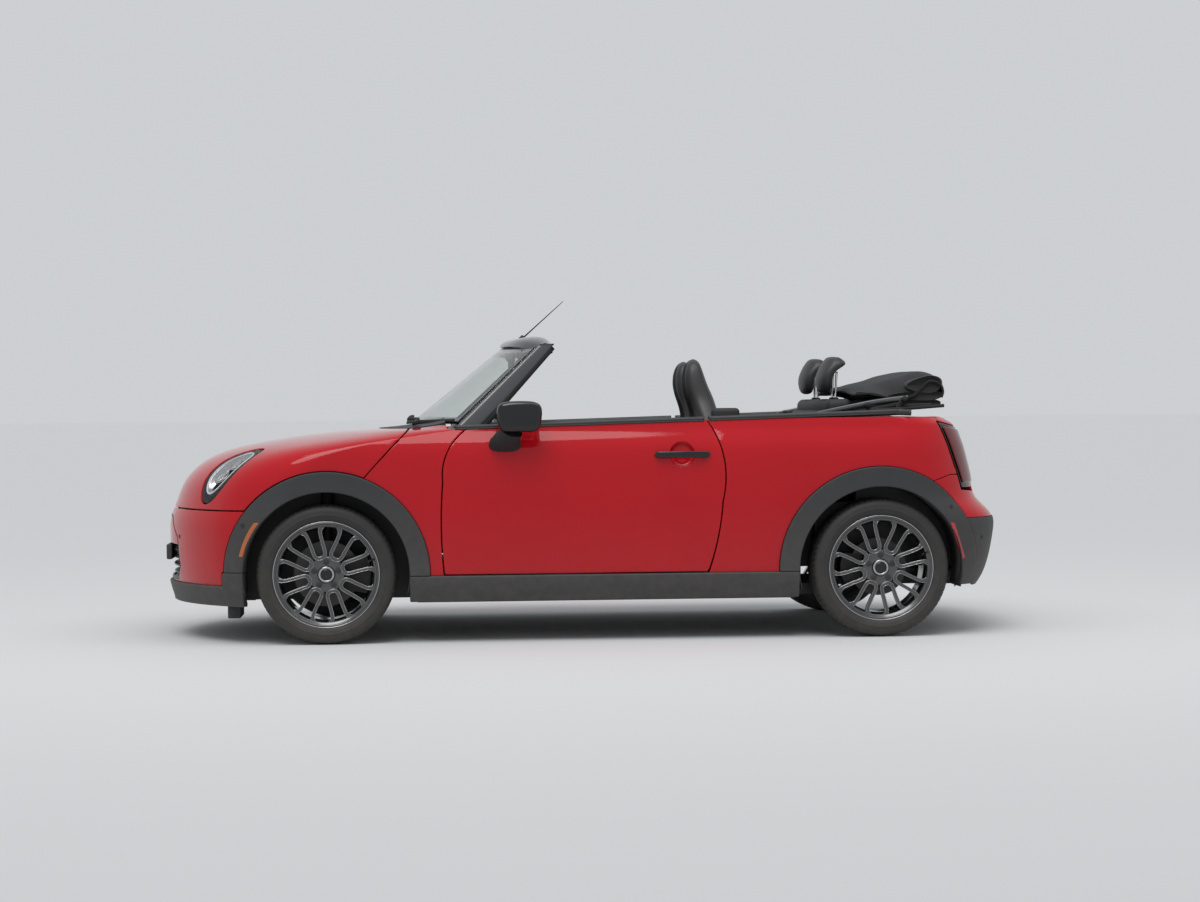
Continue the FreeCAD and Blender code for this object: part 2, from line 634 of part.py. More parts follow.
# rear seat with two headrests
bench_x = rear_axle - 600
bench_low = sill_line + gap
bench = side_prism([(bench_x, bench_low), (bench_x, 430), (bench_x + 40, 480, bench_x + 120, 476),
                    (bench_x + 226, 454), (bench_x + 316, 740, bench_x + 430, 1010),
                    (bench_x + 526, 1040), (bench_x + 526, 606), (bench_x + 336, 606),
                    (bench_x + 336, bench_low)], -570, 570)
rest_place = 280
rest_half = 125
post_place = 45
rests = []
for y in (-rest_place, rest_place):
    rest = side_prism([
        (bench_x + 425, 1106), (bench_x + 400, 1166), (bench_x + 410, 1262, bench_x + 450, 1275),
        (bench_x + 500, 1268, bench_x + 500, 1240), (bench_x + 480, 1160, bench_x + 485, 1106),
    ], y - rest_half, y + rest_half)
    rests.append(rest.makeFillet(16, rest.Edges))
    for off in (-post_place, post_place):
        rests.append(Part.makeCylinder(7, 150, Vector(bench_x + 470, y + off, 990), Vector(-0.05, 0, 1)))
rear_seat = fused([bench] + rests)
add("rear_seat", rear_seat)

# folded soft top lying on the rear deck
top_half = size("top_half")
TOP = [(-1, 40, -30), (-0.86, 0, -8), (0, -14, 0), (0.86, 0, -8), (1, 40, -30)]


def top_section(share, pull, drop):
    x = rear_axle - 82 + pull
    return outline([
        (x, 1098), (x + 4, 1128 + drop / 2), (x + 150, 1150 + drop), (x + 346, 1206 + drop),
        (x + 400, 1200 + drop, x + 436, 1176 + drop), (x + 470, 1150, x + 470 - pull / 2, 1112),
        (x + 440, 1060), (x + 300, 1030), (x + 120, 1034), (x + 20, 1060),
    ], lambda a, b: Vector(a, share * top_half, b))


soft_top = Part.makeLoft([top_section(*row) for row in TOP], True, False)
add("soft_top", soft_top)
link_front = rear_axle - 262
link_rear = rear_axle + 168
link = side_prism([(link_front, 1012), (link_front + 4, 1000), (link_rear + 2, 1062), (link_rear, 1078)],
                  -top_half - 40, -top_half - 18)
post = block(link_rear - 48, link_rear, -top_half - 38, -top_half - gap, size("belt_rear") + 2, 1070)
foot = fused([block(link_front, link_front + 30, -640 + gap, -top_half - 20, 900, 984),
              block(link_front, link_front + 30, -top_half - 38, -top_half - 20, 980, 1010)])
add_both("roof_links", fused([link, post, foot]))

# whip antenna on the header
mast_foot = Vector(head_x + 105, 0, size("screen_top") + 42)
mast_way = Vector(197, 0, 177).normalize()
mast = Part.makeCone(4.5, 2, 250, mast_foot, mast_way).fuse(
    Part.makeCone(16, 9, 22, mast_foot - Vector(0, 0, 8), Vector(0.3, 0, 1)))
mast = max(mast.cut(header).Solids, key=lambda solid: solid.Volume)
add("antenna", mast)

# door mirrors, folded back, and handles in round cups
mirror_x = front_axle + 762
mirror_shell = block(mirror_x, mirror_x + 200, -975, -862, 935, 1074)
mirror_shell = mirror_shell.makeFillet(38, mirror_shell.Edges)
mirror_arm = side_prism([(mirror_x - 50, 884), (mirror_x - 22, 872, mirror_x + 38, 872), (mirror_x + 88, 905),
                         (mirror_x + 83, 945), (mirror_x + 13, 945)], -900, -838)
mirror_arm = mirror_arm.cut(hull(-0.3))
add_pair("mirror", fused([mirror_shell, mirror_arm]))
handle_x = door_x1 - 187
handle_bar = block(handle_x - 123, handle_x + 123, -882, -866, 820, 846)
handle_bar = handle_bar.makeFillet(6, handle_bar.Edges)
handle_posts = [block(x - 12, x + 12, -874, -840, 826, 840) for x in (handle_x - 105, handle_x + 105)]
handle = fused([handle_bar] + handle_posts)
add_pair("door", door.fuse(handle))

# grille: recessed plate with slats and the blank plate holder
grille_edge = [(y * 0.99, 415 + (z - 415) * 0.98) for y, z in grille_outline]
grille_zone = front_prism(grille_edge, nose - 60, nose + 260)
grille_inset = size("grille_inset")
grille_back = hull(grille_inset).cut(hull(grille_inset + size("grille_thick"))).common(grille_zone)
slat_blocks = [block(nose - 10, nose + 200, -440, 440, z, z + size("slat_tall")) for z in (290, 325, 360, 395)]
slats = hull(size("slat_front")).cut(hull(size("slat_front") + size("slat_depth"))).common(fused(slat_blocks))
plate_half = size("plate_half")
plate_low = size("plate_low")
holder = block(nose - 9, nose + 40, -plate_half, plate_half, plate_low, plate_low + size("plate_tall"))
add("grille", fused([grille_back, slats, holder]))

# front subframe with the lower arms, and the rear axle with its arms
lean = math.radians(size("kingpin_lean"))
ball_y = size("ball_place")
ball_stud = Part.makeCylinder(10, 14, Vector(front_axle, -ball_y, 205))
arm_left = plan_prism([
    (front_axle - 25, -ball_y - 20), (front_axle + 25, -ball_y - 20), (front_axle + 190, -430),
    (front_axle + 190, -380), (front_axle - 40, -380), (front_axle - 40, -430),
], 190, 208)
cross = fused([block(front_axle - 60, front_axle + 260, -430, 430, 186, 212),
               block(front_axle - 60, front_axle + 40, -430, 430, 186, 260)])
bay_face = bay - 0.3
mount_post = block(front_axle - 60, front_axle + 40, -bay_face, -410, 200, 330)
mount_posts = [mount_post, mirrored(mount_post)]
arm_left = arm_left.fuse(ball_stud)
add("front_subframe", fused([cross, arm_left, mirrored(arm_left)] + mount_posts))

# engine as one plain block across the bay, with its gearbox
engine = fused([block(front_axle - 200, front_axle + 190, -330, 180, 330, 700),
                block(front_axle - 150, front_axle + 150, 180, 400, 300, 540),
                block(front_axle - 170, front_axle + 130, -310, 160, 700, 790),
                block(front_axle - 50, front_axle + 50, -bay_face, -330, 600, 640),
                block(front_axle - 50, front_axle + 50, 400, bay_face, 470, 510)])
add("engine", engine)

rear_beam = fused([cross_rod(30, rear_axle + 10, wheel_z - 40, -600, 600),
                   block(rear_axle - 261.7, rear_axle + 20, -586, -536, 240, 300),
                   block(rear_axle - 261.7, rear_axle + 20, 536, 586, 240, 300),
                   block(rear_axle - 40, rear_axle + 50, -616, -593, 240, 360),
                   block(rear_axle - 40, rear_axle + 50, 593, 616, 240, 360),
                   block(rear_axle - 40, rear_axle + 50, -600, -560, 240, 300),
                   block(rear_axle - 40, rear_axle + 50, 560, 600, 240, 300)])

# exhaust along the tunnel to a silencer across the tail
pipe_height = 208
silencer = block(tail - 360, tail - 150, -330, 330, 200, 280)
silencer = silencer.makeFillet(24, silencer.Edges)
pipe_start = front_axle + 270
pipe = Part.makeCylinder(size("pipe_radius"), size("wheelbase") + 60, Vector(pipe_start, 0, pipe_height),
                         Vector(1, 0, 0))
pipe_end = Part.makeCylinder(size("outlet_radius"), 175, Vector(tail - 200, outlet_y, outlet_z),
                             Vector(1, 0, 0))
add("exhaust", fused([silencer, pipe, pipe_end]))


# wheels, modelled about the origin with the outer face towards -Y
def revolved(name, points):
    """A body turned about the X axis from a profile of axial place and radius, as expressions."""
    body = doc.addObject("PartDesign::Body", name)
    sketch = body.newObject("Sketcher::SketchObject", name + "_profile")
    plane = [face for face in body.Origin.OriginFeatures if face.Role == "XY_Plane"][0]
    sketch.AttachmentSupport = [(plane, "")]
    sketch.MapMode = "FlatFace"
    count = len(points)
    flat = [(x, y) for x, y, _, _ in points]
    for index in range(count):
        a, b = flat[index], flat[(index + 1) % count]
        sketch.addGeometry(Part.LineSegment(Vector(a[0], a[1], 0), Vector(b[0], b[1], 0)))
    for index in range(count):
        sketch.addConstraint(Sketcher.Constraint("Coincident", index, 2, (index + 1) % count, 1))
    for index, (x, y, x_rule, y_rule) in enumerate(points):
        spot = sketch.addConstraint(Sketcher.Constraint("DistanceX", -1, 1, index, 1, x))
        sketch.renameConstraint(spot, "along%d" % index)
        sketch.setExpression("Constraints.along%d" % index, x_rule)
        spot = sketch.addConstraint(Sketcher.Constraint("DistanceY", -1, 1, index, 1, y))
        sketch.renameConstraint(spot, "out%d" % index)
        sketch.setExpression("Constraints.out%d" % index, y_rule)
    turn = body.newObject("PartDesign::Revolution", name + "_turn")
    turn.Profile = sketch
    axis = [line for line in body.Origin.OriginFeatures if line.Role == "X_Axis"][0]
    turn.ReferenceAxis = (axis, [""])
    turn.Angle = 360
    return body


def rule(alias, plus=0, share=1):
    """Value and expression of a sheet size times a share plus a step."""
    return size(alias) * share + plus, "Sizes.%s * %g + %g" % (alias, share, plus)


def profile(rows):
    return [(x[0], y[0], x[1], y[1]) for x, y in rows]


tyre_body = revolved("tyre_form", profile([
    (rule("tyre_width", 17.6, 0), rule("bead_radius", 5)),
    (rule("tyre_width", 17.6, 0), rule("rim_radius", 1.5)),
    (rule("tyre_width", 0, 0), rule("tyre_radius", -48)),
    (rule("tyre_width", 3, 0), rule("tyre_radius", -24)),
    (rule("tyre_width", 22, 0), rule("tyre_radius", -4)),
    (rule("tyre_width", 0, 0.3), rule("tyre_radius")),
    (rule("tyre_width", 0, 0.7), rule("tyre_radius")),
    (rule("tyre_width", -22), rule("tyre_radius", -4)),
    (rule("tyre_width", -3), rule("tyre_radius", -24)),
    (rule("tyre_width"), rule("tyre_radius", -48)),
    (rule("rim_width", -1.4), rule("rim_radius", 1.5)),
    (rule("rim_width", -1.4), rule("bead_radius", 5)),
]))
rim_body = revolved("rim_form", profile([
    (rule("rim_width", 0, 0), rule("rim_radius")),
    (rule("rim_width", 0, 0), rule("rim_radius", -10)),
    (rule("rim_width", 30, 0), rule("rim_radius", -32)),
    (rule("rim_width", -4), rule("rim_radius", -32)),
    (rule("rim_width", -4), rule("rim_radius")),
    (rule("rim_width", -10), rule("rim_radius")),
    (rule("rim_width", -10), rule("bead_radius", 4)),
    (rule("rim_width", 8, 0), rule("bead_radius", 4)),
    (rule("rim_width", 8, 0), rule("rim_radius")),
]))
doc.recompute()
inner_radius = size("rim_radius") - 20
spoke_half = math.pi / size("spoke_pairs") / 2
bars = []
for pair in range(int(size("spoke_pairs"))):
    for side in (-1, 1):
        foot_angle = spoke_half * 0.62 * side
        tip_angle = spoke_half * 0.92 * side
        w = size("spoke_width") / 2
        foot = (40 * math.cos(foot_angle), 40 * math.sin(foot_angle))
        tip = (inner_radius * math.cos(tip_angle), inner_radius * math.sin(tip_angle))
        bar = Part.makeLoft([
            Part.makePolygon([Vector(20, foot[0], foot[1] - w), Vector(20, foot[0], foot[1] + w),
                              Vector(60, foot[0], foot[1] + w), Vector(60, foot[0], foot[1] - w),
                              Vector(20, foot[0], foot[1] - w)]),
            Part.makePolygon([Vector(14, tip[0], tip[1] - w), Vector(14, tip[0], tip[1] + w),
                              Vector(44, tip[0], tip[1] + w), Vector(44, tip[0], tip[1] - w),
                              Vector(14, tip[0], tip[1] - w)])], True, True)
        bar.rotate(Vector(0, 0, 0), Vector(1, 0, 0), pair * 360 / size("spoke_pairs"))
        bars.append(bar)
hub_plate = Part.makeCylinder(size("hub_radius"), 52, Vector(16, 0, 0), Vector(1, 0, 0))
rim_shape = fused([rim_body.Shape, hub_plate] + bars)
wheel_hub_x = 68 + gap
hat_radius = size("hat_radius")
steer_axis = Vector(0, math.sin(lean), math.cos(lean))


def wheel_set(stem, axle, disc_radius):
    """Tyre, rim and disc of one wheel; the local X axis is turned to point inwards."""
    face = wheel_y + size("tyre_width") / 2
    for side, name, turn in ((-1, "left", 90), (1, "right", -90)):
        place = Placement(Vector(axle, side * face, wheel_z), Rotation(Vector(0, 0, 1), turn))
        tyre = doc.addObject("Part::Feature", stem + "_tyre_" + name)
        tyre.Shape = tyre_body.Shape.copy()
        tyre.Placement = place
        tyre.Label = stem + "_tyre_" + name
        rim = doc.addObject("Part::Feature", stem + "_rim_" + name)
        rim.Shape = rim_shape.copy()
        rim.Placement = place.multiply(Placement(Vector(9, 0, 0), Rotation()))
        rim.Label = stem + "_rim_" + name
        disc_start = Vector(wheel_hub_x + 30, 0, 0)
        disc_shape = fused([
            Part.makeCylinder(disc_radius, size("disc_thick"), disc_start, Vector(1, 0, 0)),
            Part.makeCylinder(hat_radius - 6, 44, Vector(wheel_hub_x, 0, 0), Vector(1, 0, 0))])
        disc = doc.addObject("Part::Feature", stem + "_disc_" + name)
        disc.Shape = disc_shape
        disc.Placement = rim.Placement
        disc.Label = stem + "_disc_" + name
        PARTS.extend([tyre, rim, disc])


wheel_set("front", front_axle, size("disc_radius"))
wheel_set("rear", rear_axle, size("rear_disc_radius"))

# steering knuckles: hub carrier, calliper, steering arm and the strut along the leaning axis
disc_face = wheel_y + size("tyre_width") / 2 - 9 - wheel_hub_x - 30 - size("disc_thick")
foot_point = Vector(front_axle, -size("ball_place"), 224)
carrier = fused([
    Part.makeCylinder(46, 40, Vector(front_axle, -disc_face + 6 + gap, wheel_z), Vector(0, 1, 0)),
    Part.makeCylinder(20, 40, foot_point, steer_axis),
    block(front_axle - 30, front_axle + 30, -disc_face + 14, -disc_face + 60, 236, wheel_z + 100),
    block(front_axle - 30, front_axle + 30, -disc_face + 30, -620, wheel_z + 60, wheel_z + 100),
    block(front_axle - 18, front_axle + 130, -disc_face + 20, -disc_face + 44, 240, 262),
    Part.makeCylinder(30, 160, foot_point + steer_axis * 330, steer_axis),
    Part.makeCylinder(24, 340, foot_point + steer_axis * 120, steer_axis),
])
disc_outer = -disc_face - size("disc_thick")


def disc_slot(axle, disc_radius):
    """Room for a disc and its hat in a calliper."""
    rod = cross_rod(disc_radius + size("disc_slack"), axle, wheel_z, disc_outer - 5, -disc_face + 5)
    return rod.fuse(cross_rod(hat_radius, axle, wheel_z, disc_outer - 60, -disc_face + 5))


caliper = side_prism([(front_axle + 70, wheel_z - 70), (front_axle + 176, wheel_z - 88),
                      (front_axle + 196, wheel_z, front_axle + 176, wheel_z + 88),
                      (front_axle + 70, wheel_z + 70)], disc_outer - 34, -disc_face + 40)
caliper = caliper.cut(disc_slot(front_axle, size("disc_radius")))
web = block(front_axle + 20, front_axle + 90, -disc_face + 14, -disc_face + 34, wheel_z - 60,
            wheel_z + 60)
add_pair("knuckle", fused([carrier, caliper, web]))

# rear callipers, carried by the rear axle
rear_caliper = side_prism([(rear_axle - 60, wheel_z - 50), (rear_axle - 158, wheel_z - 66),
                           (rear_axle - 176, wheel_z, rear_axle - 158, wheel_z + 66),
                           (rear_axle - 60, wheel_z + 50)],
                          disc_outer - 30, -disc_face + 40)
rear_caliper = rear_caliper.cut(disc_slot(rear_axle, size("rear_disc_radius")))
carrier_plate = block(rear_axle - 90, rear_axle + 50, -disc_face + 12, -disc_face + 30, wheel_z - 60,
                      wheel_z + 60)
carrier_start = Vector(rear_axle, -disc_face + 6 + gap, wheel_z)
carrier_hub = Part.makeCylinder(44, 110, carrier_start, Vector(0, 1, 0))
rear_hub = fused([rear_caliper, carrier_plate, carrier_hub])
add("rear_axle", fused([rear_beam, rear_hub, mirrored(rear_hub)]))

doc.recompute()
faults = [item.Name for item in doc.Objects if "Invalid" in item.State or "Error" in item.State]
for piece in PARTS:
    shape = piece.Shape
    if shape.isNull() or not shape.isValid() or not shape.Solids:
        faults.append(piece.Label)
if faults:
    raise RuntimeError("these are not sound: " + ", ".join(faults))
os.makedirs("parts", exist_ok=True)
for piece in PARTS:
    piece.Shape.exportStep("parts/%s.step" % piece.Label)
    print(piece.Label, len(piece.Shape.Solids), round(piece.Shape.Volume / 1e6, 2))
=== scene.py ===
import json
import math

import bpy
import numpy as np
from mathutils import Matrix, Vector

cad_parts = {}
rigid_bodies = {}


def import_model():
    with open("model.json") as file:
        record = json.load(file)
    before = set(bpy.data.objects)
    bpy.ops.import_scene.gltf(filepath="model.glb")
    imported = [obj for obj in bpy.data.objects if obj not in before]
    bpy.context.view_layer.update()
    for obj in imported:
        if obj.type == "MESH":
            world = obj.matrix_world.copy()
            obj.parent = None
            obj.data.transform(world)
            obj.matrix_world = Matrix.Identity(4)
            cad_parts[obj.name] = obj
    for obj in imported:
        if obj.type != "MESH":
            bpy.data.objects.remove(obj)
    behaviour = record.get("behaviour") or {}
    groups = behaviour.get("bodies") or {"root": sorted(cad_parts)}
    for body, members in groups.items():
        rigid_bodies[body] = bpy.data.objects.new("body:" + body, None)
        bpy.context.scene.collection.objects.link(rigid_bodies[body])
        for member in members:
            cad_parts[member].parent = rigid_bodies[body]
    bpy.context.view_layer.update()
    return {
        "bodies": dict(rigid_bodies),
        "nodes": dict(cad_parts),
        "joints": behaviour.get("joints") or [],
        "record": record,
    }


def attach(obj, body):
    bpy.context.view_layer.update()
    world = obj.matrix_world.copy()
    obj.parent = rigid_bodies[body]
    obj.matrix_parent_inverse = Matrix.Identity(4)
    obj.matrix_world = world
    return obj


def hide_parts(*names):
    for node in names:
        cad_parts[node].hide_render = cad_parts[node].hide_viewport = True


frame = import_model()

# A small two-door convertible with its soft top folded, seen from its left side.
# Metres.  X runs to the tail, Y to the car's right, Z up, with the ground at 0.
frontAxle = -1.18
rearAxle = 1.315
nose = -1.94
tail = 1.94
halfWidth = .857
wheelHeight = .3125


def unit(v):
    return v / np.maximum(np.linalg.norm(v, axis=-1, keepdims=True), 1e-12)


def circle(count):
    # even angles once round
    return np.linspace(0, 2 * np.pi, count, endpoint=False)


def stacked(*parts):
    # one array of points or corner numbers, its parts stretched to the same shape
    return np.stack(np.broadcast_arrays(*parts), -1)


def gridOf(rows, columns):
    return np.meshgrid(rows, columns, indexing="ij")


def rounded(wave, power):
    # a sine or cosine made squarer or slimmer, with its sign kept
    return np.sign(wave) * np.abs(wave) ** power


def distances(spots):
    # how far along its line each spot lies
    return np.concatenate([[0], np.cumsum(np.linalg.norm(np.diff(spots, axis=0), axis=1))])


def gridQuads(rows, columns, wrapRows=False, wrapColumns=False):
    # corner numbers of every cell of a rows by columns grid, going round where it wraps
    i = np.arange(rows if wrapRows else rows - 1)
    j = np.arange(columns if wrapColumns else columns - 1)
    i, j = gridOf(i, j)
    below, beside = (i + 1) % rows, (j + 1) % columns
    quads = stacked(i * columns + j, below * columns + j, below * columns + beside, i * columns + beside)
    return quads.reshape(-1, 4)


def addMesh(name, part, material, body="body", replaces=(), smooth=True):
    # a part is an N by 3 array of points and a list of face arrays, or a list of such parts
    points, faceSets = joinParts(part) if isinstance(part, list) else part
    mesh = bpy.data.meshes.new(name)
    mesh.from_pydata(points.tolist(), [], [face for faces in faceSets for face in faces.tolist()])
    mesh.validate()
    mesh.polygons.foreach_set("use_smooth", np.full(len(mesh.polygons), smooth))
    piece = bpy.data.objects.new(name, mesh)
    bpy.context.collection.objects.link(piece)
    if material:
        mesh.materials.append(material)
    if body:
        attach(piece, body)
    if replaces:
        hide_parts(*replaces)
    return piece


def addBoth(name, part, material, replaces=()):
    # left and right pieces that ride on the same body, as one mesh
    part = joinParts(part) if isinstance(part, list) else part
    return addMesh(name, [part, mirrorPart(part)], material, "body", replaces)


def outward(points, sets):
    # a closed part whose faces enclose a negative volume is inside out, so they are turned round
    volume = 0.0
    for faceSet in sets:
        for k in range(1, faceSet.shape[1] - 1):
            a, b, c = points[faceSet[:, 0]], points[faceSet[:, k]], points[faceSet[:, k + 1]]
            volume += (a * np.cross(b, c)).sum()
    return points, sets if volume > 0 else [faceSet[:, ::-1] for faceSet in sets]


def joinParts(parts):
    # one mesh of several (points, face arrays) parts
    points, faces, start = [], [], 0
    for spots, sets in parts:
        points.append(spots)
        faces += [part + start for part in sets]
        start += len(spots)
    return np.concatenate(points), faces


def mirrorPart(part):
    # the same part on the other side of the car, with its faces turned to point outwards again
    points, sets = part
    return points * [1, -1, 1], [faceSet[:, ::-1] for faceSet in sets]


def cappedTube(rings):
    # rings is a rows by columns by 3 array of closed rings; the two ends close in a fan round their middles
    rows, columns = rings.shape[:2]
    points = np.concatenate([rings.reshape(-1, 3), rings[:1].mean(1), rings[-1:].mean(1)])
    j = np.arange(columns)
    following = (j + 1) % columns
    count = rows * columns
    start = stacked(following, j, count)
    end = stacked(count - columns + j, count - columns + following, count + 1)
    return outward(points, [gridQuads(rows, columns, wrapColumns=True), start, end])


def sweepRings(path, sides, width, height=None, power=2.0, up=(0, 0, 1), turn=0.0):
    # a superellipse ring across each point of a path: width and height may change along it
    path = np.asarray(path, float)
    count = len(path)
    width = np.broadcast_to(np.asarray(width, float), count)
    height = width if height is None else np.broadcast_to(np.asarray(height, float), count)
    along = unit(np.gradient(path, axis=0))
    side = unit(np.cross(along, np.broadcast_to(np.asarray(up, float), along.shape)))
    rise = np.cross(side, along)
    angle = circle(sides) + turn
    a, b = rounded(np.cos(angle), 2 / power), rounded(np.sin(angle), 2 / power)
    return (path[:, None] + side[:, None] * (a[None, :, None] * width[:, None, None] / 2) + rise[:, None]
        * (b[None, :, None] * height[:, None, None] / 2))


def sweepPart(*values, **more):
    return cappedTube(sweepRings(*values, **more))


def smoothPath(spots, count):
    # Catmull-Rom curve through the given spots, evenly spread over their distances apart
    spots = np.asarray(spots, float)
    padded = np.concatenate([2 * spots[:1] - spots[1:2], spots, 2 * spots[-1:] - spots[-2:-1]])
    lengths = distances(spots)
    at = np.interp(np.linspace(0, lengths[-1], count), lengths, np.arange(len(spots)))
    cell = np.minimum(at.astype(int), len(spots) - 2)
    t = (at - cell)[:, None]
    p0, p1, p2, p3 = (padded[cell + step] for step in range(4))
    return .5 * (2 * p1 + (p2 - p0) * t + (2 * p0 - 5 * p1 + 4 * p2 - p3) * t ** 2 + (3 * p1 - p0 - 3 * p2 + p3)
        * t ** 3)


def turnedPart(outline, steps, axisPoint, axis, start=(0, 0, 1)):
    # a closed outline of (along the axis, away from it) pairs, turned once round the axis
    outline = np.asarray(outline, float)
    axis = unit(np.asarray(axis, float))
    first = unit(np.asarray(start, float) - axis * np.dot(start, axis))
    second = np.cross(axis, first)
    angle = circle(steps)
    spoke = np.cos(angle)[:, None] * first + np.sin(angle)[:, None] * second
    rings = (np.asarray(axisPoint, float) + outline[None, :, :1] * axis + outline[None, :, 1:] * spoke[:, None])
    return outward(rings.reshape(-1, 3), [gridQuads(steps, len(outline), True, True)])


def lathePart(profile, steps, axisPoint, axis, start=(0, 0, 1)):
    # an open profile that begins and ends on the axis, turned round it, with the poles closed
    profile = np.asarray(profile, float)
    points, _ = turnedPart(profile[1:-1], steps, axisPoint, axis, start)
    inner = len(profile) - 2
    quads = gridQuads(steps, inner, wrapRows=True)
    axis = unit(np.asarray(axis, float))
    poles = np.asarray(axisPoint, float) + profile[[0, -1], :1] * axis
    j = np.arange(steps)
    following = (j + 1) % steps
    begin = stacked(j * inner, len(points), following * inner)
    end = stacked(following * inner + inner - 1, len(points) + 1, j * inner + inner - 1)
    return outward(np.concatenate([points, poles]), [quads, begin, end])


def roundedBox(middle, size, radius, steps=4):
    # a box whose every edge is rounded: a cube grid pushed out to its inner core and rounded by the radius
    size = np.asarray(size, float)
    radius = min(radius, size.min() / 2 * .999)
    core = size / 2 - radius
    t = np.tan(np.linspace(-np.pi / 4, np.pi / 4, 2 * steps + 1))
    u, v = gridOf(t, t)
    one = np.ones_like(u)
    sides = [(one, u, v), (-one, v, u), (v, one, u), (u, -one, v), (u, v, one), (v, u, -one)]
    points = np.concatenate([np.stack(side, -1).reshape(-1, 3) for side in sides])
    count = (2 * steps + 1) ** 2
    quads = np.concatenate([gridQuads(2 * steps + 1, 2 * steps + 1) + k * count for k in range(6)])
    points, index = np.unique(np.round(points, 7), axis=0, return_inverse=True)
    quads = index.reshape(-1)[quads]
    points = unit(points) * radius + np.sign(np.round(points, 6)) * core
    return outward(points + np.asarray(middle, float), [quads])


def boxes(x, *rows):
    # rounded boxes: each row is a middle counted from x, a size and a radius
    return [roundedBox((x + middle[0], *middle[1:]), size, radius) for middle, size, radius in rows]


def gridSlab(front, back):
    # a closed slab between two like grids
    rows, columns = front.shape[:2]
    count = rows * columns
    quads = gridQuads(rows, columns)
    i = np.arange(count).reshape(rows, columns)
    ring = np.concatenate([i[:-1, 0], i[-1, :-1], i[:0:-1, -1], i[0, :0:-1]])
    following = np.roll(ring, -1)
    wall = stacked(ring, following, following + count, ring + count)
    points = np.concatenate([front.reshape(-1, 3), back.reshape(-1, 3)])
    return outward(points, [quads, quads[:, ::-1] + count, wall[:, ::-1]])


# camera at the photograph's viewing angle
camera = {"place": (-.7626, -12.5351, 1.0577), "lens": 78.49, "yaw": -3.957, "pitch": -1.006, "roll": -.49}


def makeCamera():
    yaw, pitch, roll = (math.radians(camera[name]) for name in ("yaw", "pitch", "roll"))
    right = Vector((math.cos(yaw), math.sin(yaw), 0))
    ahead = Vector((-math.sin(yaw), math.cos(yaw), 0))
    above = Vector((0, 0, 1))
    look = ahead * math.cos(pitch) + above * math.sin(pitch)
    top = above * math.cos(pitch) - ahead * math.sin(pitch)
    rolled = right * math.cos(roll) + top * math.sin(roll)
    top = top * math.cos(roll) - right * math.sin(roll)
    data = bpy.data.cameras.new("camera")
    data.lens, data.sensor_width, data.clip_end = camera["lens"], 36, 200
    seen = bpy.data.objects.new("camera", data)
    seen.matrix_world = Matrix.Translation(camera["place"]) @ Matrix((rolled, top, -look)).transposed().to_4x4()
    bpy.context.collection.objects.link(seen)
    bpy.context.scene.camera = seen


makeCamera()
bpy.context.scene.view_settings.view_transform = "Standard"


# materials
socketNames = {"base": "Base Color", "rough": "Roughness", "metal": "Metallic", "ior": "IOR", "coat": "Coat Weight",
    "coatRough": "Coat Roughness", "coatIor": "Coat IOR", "sheen": "Sheen Weight", "sheenRough": "Sheen Roughness",
    "sheenTint": "Sheen Tint", "specular": "Specular IOR Level", "clear": "Transmission Weight", "alpha": "Alpha",
    "normal": "Normal", "coatNormal": "Coat Normal"}
dustColour = (.2, .18, .155)


def put(socket, value):
    # a socket is linked where the value is another socket, and takes the plain value elsewhere
    if isinstance(value, bpy.types.NodeSocket):
        socket.id_data.links.new(value, socket)
    else:
        socket.default_value = (*value, 1) if socket.type == "RGBA" and len(value) == 3 else value


def setValues(shader, **values):
    for name, value in values.items():
        put(shader.inputs[socketNames[name]], value)


def material(name, **values):
    made = bpy.data.materials.new(name)
    made.use_nodes = True
    shader = made.node_tree.nodes["Principled BSDF"]
    setValues(shader, **values)
    return made, made.node_tree, shader


def addNode(tree, kind, **given):
    # small first letters are the node's own settings, capitals its sockets
    node = tree.nodes.new("ShaderNode" + kind)
    for name, value in given.items():
        if name[0].islower():
            setattr(node, name, value)
        else:
            put(node.inputs[name.replace("_", " ")], value)
    return node


def objectPlace(tree):
    return addNode(tree, "TexCoord").outputs["Object"]


def noise(tree, place, scale, detail, **more):
    return addNode(tree, "TexNoise", Vector=place, Scale=scale, Detail=detail, **more).outputs["Fac"]


def bumps(tree, height, strength, distance):
    return addNode(tree, "Bump", Height=height, Strength=strength, Distance=distance).outputs["Normal"]


def spread(tree, value, **limits):
    return addNode(tree, "MapRange", Value=value, **limits).outputs["Result"]


def mathNode(tree, operation, *values):
    node = addNode(tree, "Math", operation=operation)
    for socket, value in zip(node.inputs, values):
        put(socket, value)
    return node.outputs[0]


def mixColour(tree, mask, first, second):
    mix = addNode(tree, "Mix", data_type="RGBA", Factor=mask)
    for socket, value in zip([socket for socket in mix.inputs if socket.type == "RGBA"], (first, second)):
        put(socket, value)
    return [socket for socket in mix.outputs if socket.type == "RGBA"][0]


def newGroup(name, inputs, outputs):
    # inputs and outputs are (name, socket type, first value) rows; every group begins with the coordinate
    tree = bpy.data.node_groups.new(name, "ShaderNodeTree")
    for side, rows in (("INPUT", [("Coordinate", "Vector", None)] + inputs), ("OUTPUT", outputs)):
        for title, kind, value in rows:
            socket = tree.interface.new_socket(name=title, in_out=side, socket_type="NodeSocket" + kind)
            if value is not None:
                socket.default_value = value
    return tree, tree.nodes.new("NodeGroupInput").outputs, tree.nodes.new("NodeGroupOutput").inputs


def axes(tree, place):
    return addNode(tree, "SeparateXYZ", Vector=place).outputs


